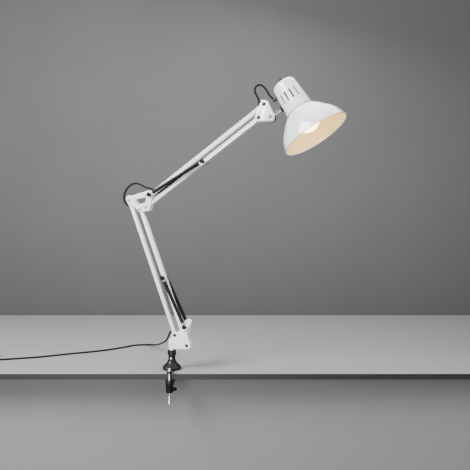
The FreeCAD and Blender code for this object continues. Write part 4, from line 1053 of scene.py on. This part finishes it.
@dataclass
class Leads(Assembly):
    """The loops over the joints and the mains lead with its coil and plug."""

    radius: float = 2.5
    coil_outer: float = 31.0
    coil_inner: float = 26.0

    def build(self) -> None:
        """Makes each lead."""
        self.loop("elbow_cord", ELBOW_LOOP, ("lower_back", "elbow", "upper_top"))
        self.loop("wrist_cord", WRIST_LOOP, ("upper_top", "wrist", "knuckle", "head"))
        self.mains()

    def stretch(self, name: str, dots: Sequence[Vector], bodies: Sequence[str]) -> bpy.types.Object:
        """One stretch of a lead between two bodies.

        Args:
            name: its name.
            dots: its line in metres.
            bodies: the bodies at its start and its end, named in the log.

        Returns:
            The piece.
        """
        obj = Shop.sweep(name, dots, self.radius * MM, True)
        PAINTS.wear(obj, Finish.LEAD)
        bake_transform(obj)
        LOG.info("%s bends between %s", name, " and ".join(bodies))
        return obj

    def loop(self, name: str, route: Sequence[Point], bodies: Sequence[str]) -> None:
        """A loop over a bracket, in as many stretches as it crosses joints.

        Args:
            name: the CAD node that it stands for.
            route: its corners in millimetres.
            bodies: the bodies that it passes, in order.
        """
        dots = Shop.line_points(route)
        count = len(bodies) - 1
        total, cuts, passed = length_of(dots), [0], 0.0
        for i in range(1, len(dots)):
            passed += (dots[i] - dots[i - 1]).length
            if len(cuts) < count and passed >= total * len(cuts) / count:
                cuts.append(i)
        cuts.append(len(dots) - 1)
        for n, (first, last) in enumerate(zip(cuts, cuts[1:])):
            part = dots[first:last + 1]
            obj = self.stretch(f"{name}_{n + 1}", part, bodies[n:n + 2])
            if n == 0:
                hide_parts(name)

    def mains(self) -> None:
        """The mains lead in three stretches, from the arm to the table, with its coil and plug."""
        dots = Shop.line_points(MAINS)
        passed, cuts = 0.0, []
        for i in range(1, len(dots)):
            passed += (dots[i] - dots[i - 1]).length
            if passed > (0.055, 0.17)[min(len(cuts), 1)] and len(cuts) < 2:
                cuts.append(i)
        first = self.stretch("mains_cord_1", dots[:cuts[0] + 1], ("lower_back", "base"))
        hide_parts("mains_cord")
        self.stretch("mains_cord_2", dots[cuts[0]:cuts[1] + 1], ("base", "clamp"))
        end, before = Vector(MAINS[-1]), Vector(MAINS[-2])
        way = (end - before).normalized()
        inward = Vector((way.y, -way.x, 0.0))
        reach = math.sqrt(34.0 ** 2 - (self.coil_outer - self.radius) ** 2) + 0.05
        middle = end + inward * self.coil_outer + way * reach
        line = dots[cuts[1]:] + [p * MM for p in self.coil_points(middle, way, inward)]
        entry = middle - inward * self.coil_outer + way * 48.0
        for along, height in ((-34, 8.6), (-22, 6.3), (-10, 4.8), (2, 4.5)):
            line.append((entry + way * along + Vector((0, 0, height))) * MM)
        lead = Shop.sweep("mains_cord_3", line, self.radius * MM, False)
        plug = self.plug(entry + Vector((0, 0, 4.5)), way)
        self.put(lead, Finish.LEAD, "clamp", "mains_coil")
        LOG.info("mains lead: %.3f m on the table", length_of(line))

    def coil_points(self, middle: Vector, way: Vector, inward: Vector) -> list[Vector]:
        """The five turns of the put-away coil.

        Args:
            middle: its middle on the table.
            way: the lead's way where it meets the coil.
            inward: from the lead to the coil's middle.

        Returns:
            Points in millimetres.
        """
        outer, inner = self.coil_outer, self.coil_inner
        lanes = [(outer, 2.5), (inner, 2.5), (inner, 7.5), (outer, 7.5), (outer, 12.5), (outer, 12.5)]
        points = []
        for turn, (now, after) in enumerate(zip(lanes, lanes[1:])):
            for k in range(24):
                share = max(0.0, (k / 24 - 0.7) / 0.3)
                share = share * share * (3 - 2 * share)
                radius = now[0] + (after[0] - now[0]) * share
                height = now[1] + (after[1] - now[1]) * share
                t = 2 * math.pi * k / 24
                points.append(middle - inward * radius * math.cos(t) + way * radius * math.sin(t)
                              + Vector((0, 0, height)))
        points.append(middle - inward * outer + Vector((0, 0, 12.5)))
        return points

    def plug(self, entry: Vector, way: Vector) -> bpy.types.Object:
        """A flat two-pin plug with a ribbed relief.

        Args:
            entry: where the lead goes in.
            way: the lead's way there.

        Returns:
            The piece.
        """
        bm = bmesh.new()
        relief = [(2.5, -1.0), (3.2, -1.0)]
        for k in range(5):
            relief += [(3.5 + 0.45 * k, 1.2 + 2.8 * k), (3.1 + 0.45 * k, 2.4 + 2.8 * k)]
        relief += [(6.2, 15.0), (6.3, 17.0), (0.0, 17.0)]
        Shop.lathe(bm, relief, axis_frame((0, 0, 0), (1, 0, 0)), 40)
        outline = [(14, -8), (18, -15), (22, -17), (33, -17), (34, -16)]
        outline += [(x, -y) for x, y in reversed(outline)]
        Shop.prism(bm, outline, 14.0, Matrix.Translation((0, 0, -7)), 2.4)
        heading = math.degrees(math.atan2(way.y, way.x))
        lift = Matrix.Translation(entry + Vector((0, 0, 2.5)))
        at = lift @ Matrix.Rotation(math.radians(heading), 4, "Z")
        body = self.piece("mains_plug_body", bm, at, Finish.PLASTIC, "clamp", "mains_plug")
        bm = bmesh.new()
        for y in (-9.5, 9.5):
            pin = [(0.0, 32.0), (2.0, 32.0), (2.0, 51.5), (1.6, 52.6), (0.8, 53.0), (0.0, 53.0)]
            Shop.lathe(bm, pin, axis_frame((0, y, 0), (1, 0, 0)), 24)
        pins = self.piece("mains_plug_pins", bm, at, Finish.BRIGHT, "clamp")
        pins.parent = body
        return body


@dataclass
class Studio:
    """The table, backdrop, lights and camera."""

    focal: float = 39.83
    camera_at: Point = (0.6137, -1.2058, 0.3462)
    azimuth: float = 20.0

    def build(self) -> None:
        """Sets the scene."""
        self.camera()
        self.ground()
        self.lights()

    def camera(self) -> None:
        """The level camera."""
        data = bpy.data.cameras.new("camera")
        data.lens, data.sensor_width = self.focal, 36.0
        data.shift_x, data.shift_y = -0.5 / 470, 0.0
        obj = bpy.data.objects.new("camera", data)
        obj.location = self.camera_at
        obj.rotation_euler = (math.radians(90), 0.0, math.radians(self.azimuth))
        bpy.context.scene.collection.objects.link(obj)
        bpy.context.scene.camera = obj

    def slab(self, name: str, near: float, far: float, half: float, low: float, high: float,
             finish: Finish, rounded: float = 1.5) -> None:
        """A flat slab that belongs to the setting, square to the clamp.

        Args:
            name: its name.
            near: its front face, from the swivel axis, in millimetres.
            far: its back face.
            half: half of its width.
            low: its lower face.
            high: its upper face.
            finish: its finish.
            rounded: its edges' radius.
        """
        corners = ((-half, near), (half, near), (half, far), (-half, far))
        outline = [tuple((LAYOUT.clamp @ Vector((x, y, 0))).xy) for x, y in corners]
        bm = bmesh.new()
        Shop.prism(bm, outline, high - low, Matrix.Translation((0, 0, low)), rounded)
        PAINTS.wear(Shop.finish_mesh(name, bm, Matrix()), finish)

    def ground(self) -> None:
        """The table top with its dark edge and the front below it, and the floor and wall behind."""
        self.slab("table_top", -43, 900, 1500, -15.4, 0, Finish.TABLE)
        self.slab("table_edge", -44, -43.05, 1500, -15, -1, Finish.EDGE, 0.0)
        self.slab("front_panel", 25, 45, 1500, -716, -16, Finish.PANEL)
        self.slab("backdrop", 1700, 1720, 6000, -900, 3700, Finish.WALL)
        self.slab("floor", -4000, 1700, 6000, -760, -740, Finish.WALL)

    def lights(self) -> None:
        """Soft key, fill and top lights and a dim world."""
        spots = (("key", (-0.9, -1.5, 1.7), 1.2, 150.0), ("fill", (1.9, -0.9, 1.1), 1.4, 26.0),
                 ("front", (0.3, -2.2, -0.1), 1.2, 30.0),
                 ("top", (0.3, 0.5, 2.0), 1.6, 42.0))
        for name, at, wide, power in spots:
            data = bpy.data.lights.new(name, "AREA")
            data.size, data.energy = wide, power
            obj = bpy.data.objects.new(name, data)
            obj.location = at
            aim = Vector((0.1, 0.0, 0.4)) - Vector(at)
            obj.rotation_euler = aim.to_track_quat("-Z", "Y").to_euler()
            bpy.context.scene.collection.objects.link(obj)
        world = bpy.data.worlds.new("studio")
        world.use_nodes = True
        world.node_tree.nodes["Background"].inputs["Color"].default_value = (0.8, 0.82, 0.85, 1)
        world.node_tree.nodes["Background"].inputs["Strength"].default_value = 0.25
        bpy.context.scene.world = world


def main() -> None:
    """Builds the setting and every sub-assembly in order."""
    logging.basicConfig(level=logging.INFO, format="%(message)s")
    Studio().build()
    Leads().build()
    Clamp().build()
    Brackets().build()
    Arms().build()
    SpringPair("lower", LAYOUT.lower_pin, Vector(LAYOUT.anchor)).build()
    SpringPair("upper", LAYOUT.upper_pin, LAYOUT.elbow_top).build()
    Wrist().build()
    Head().build()


if __name__ == "__main__":
    main()
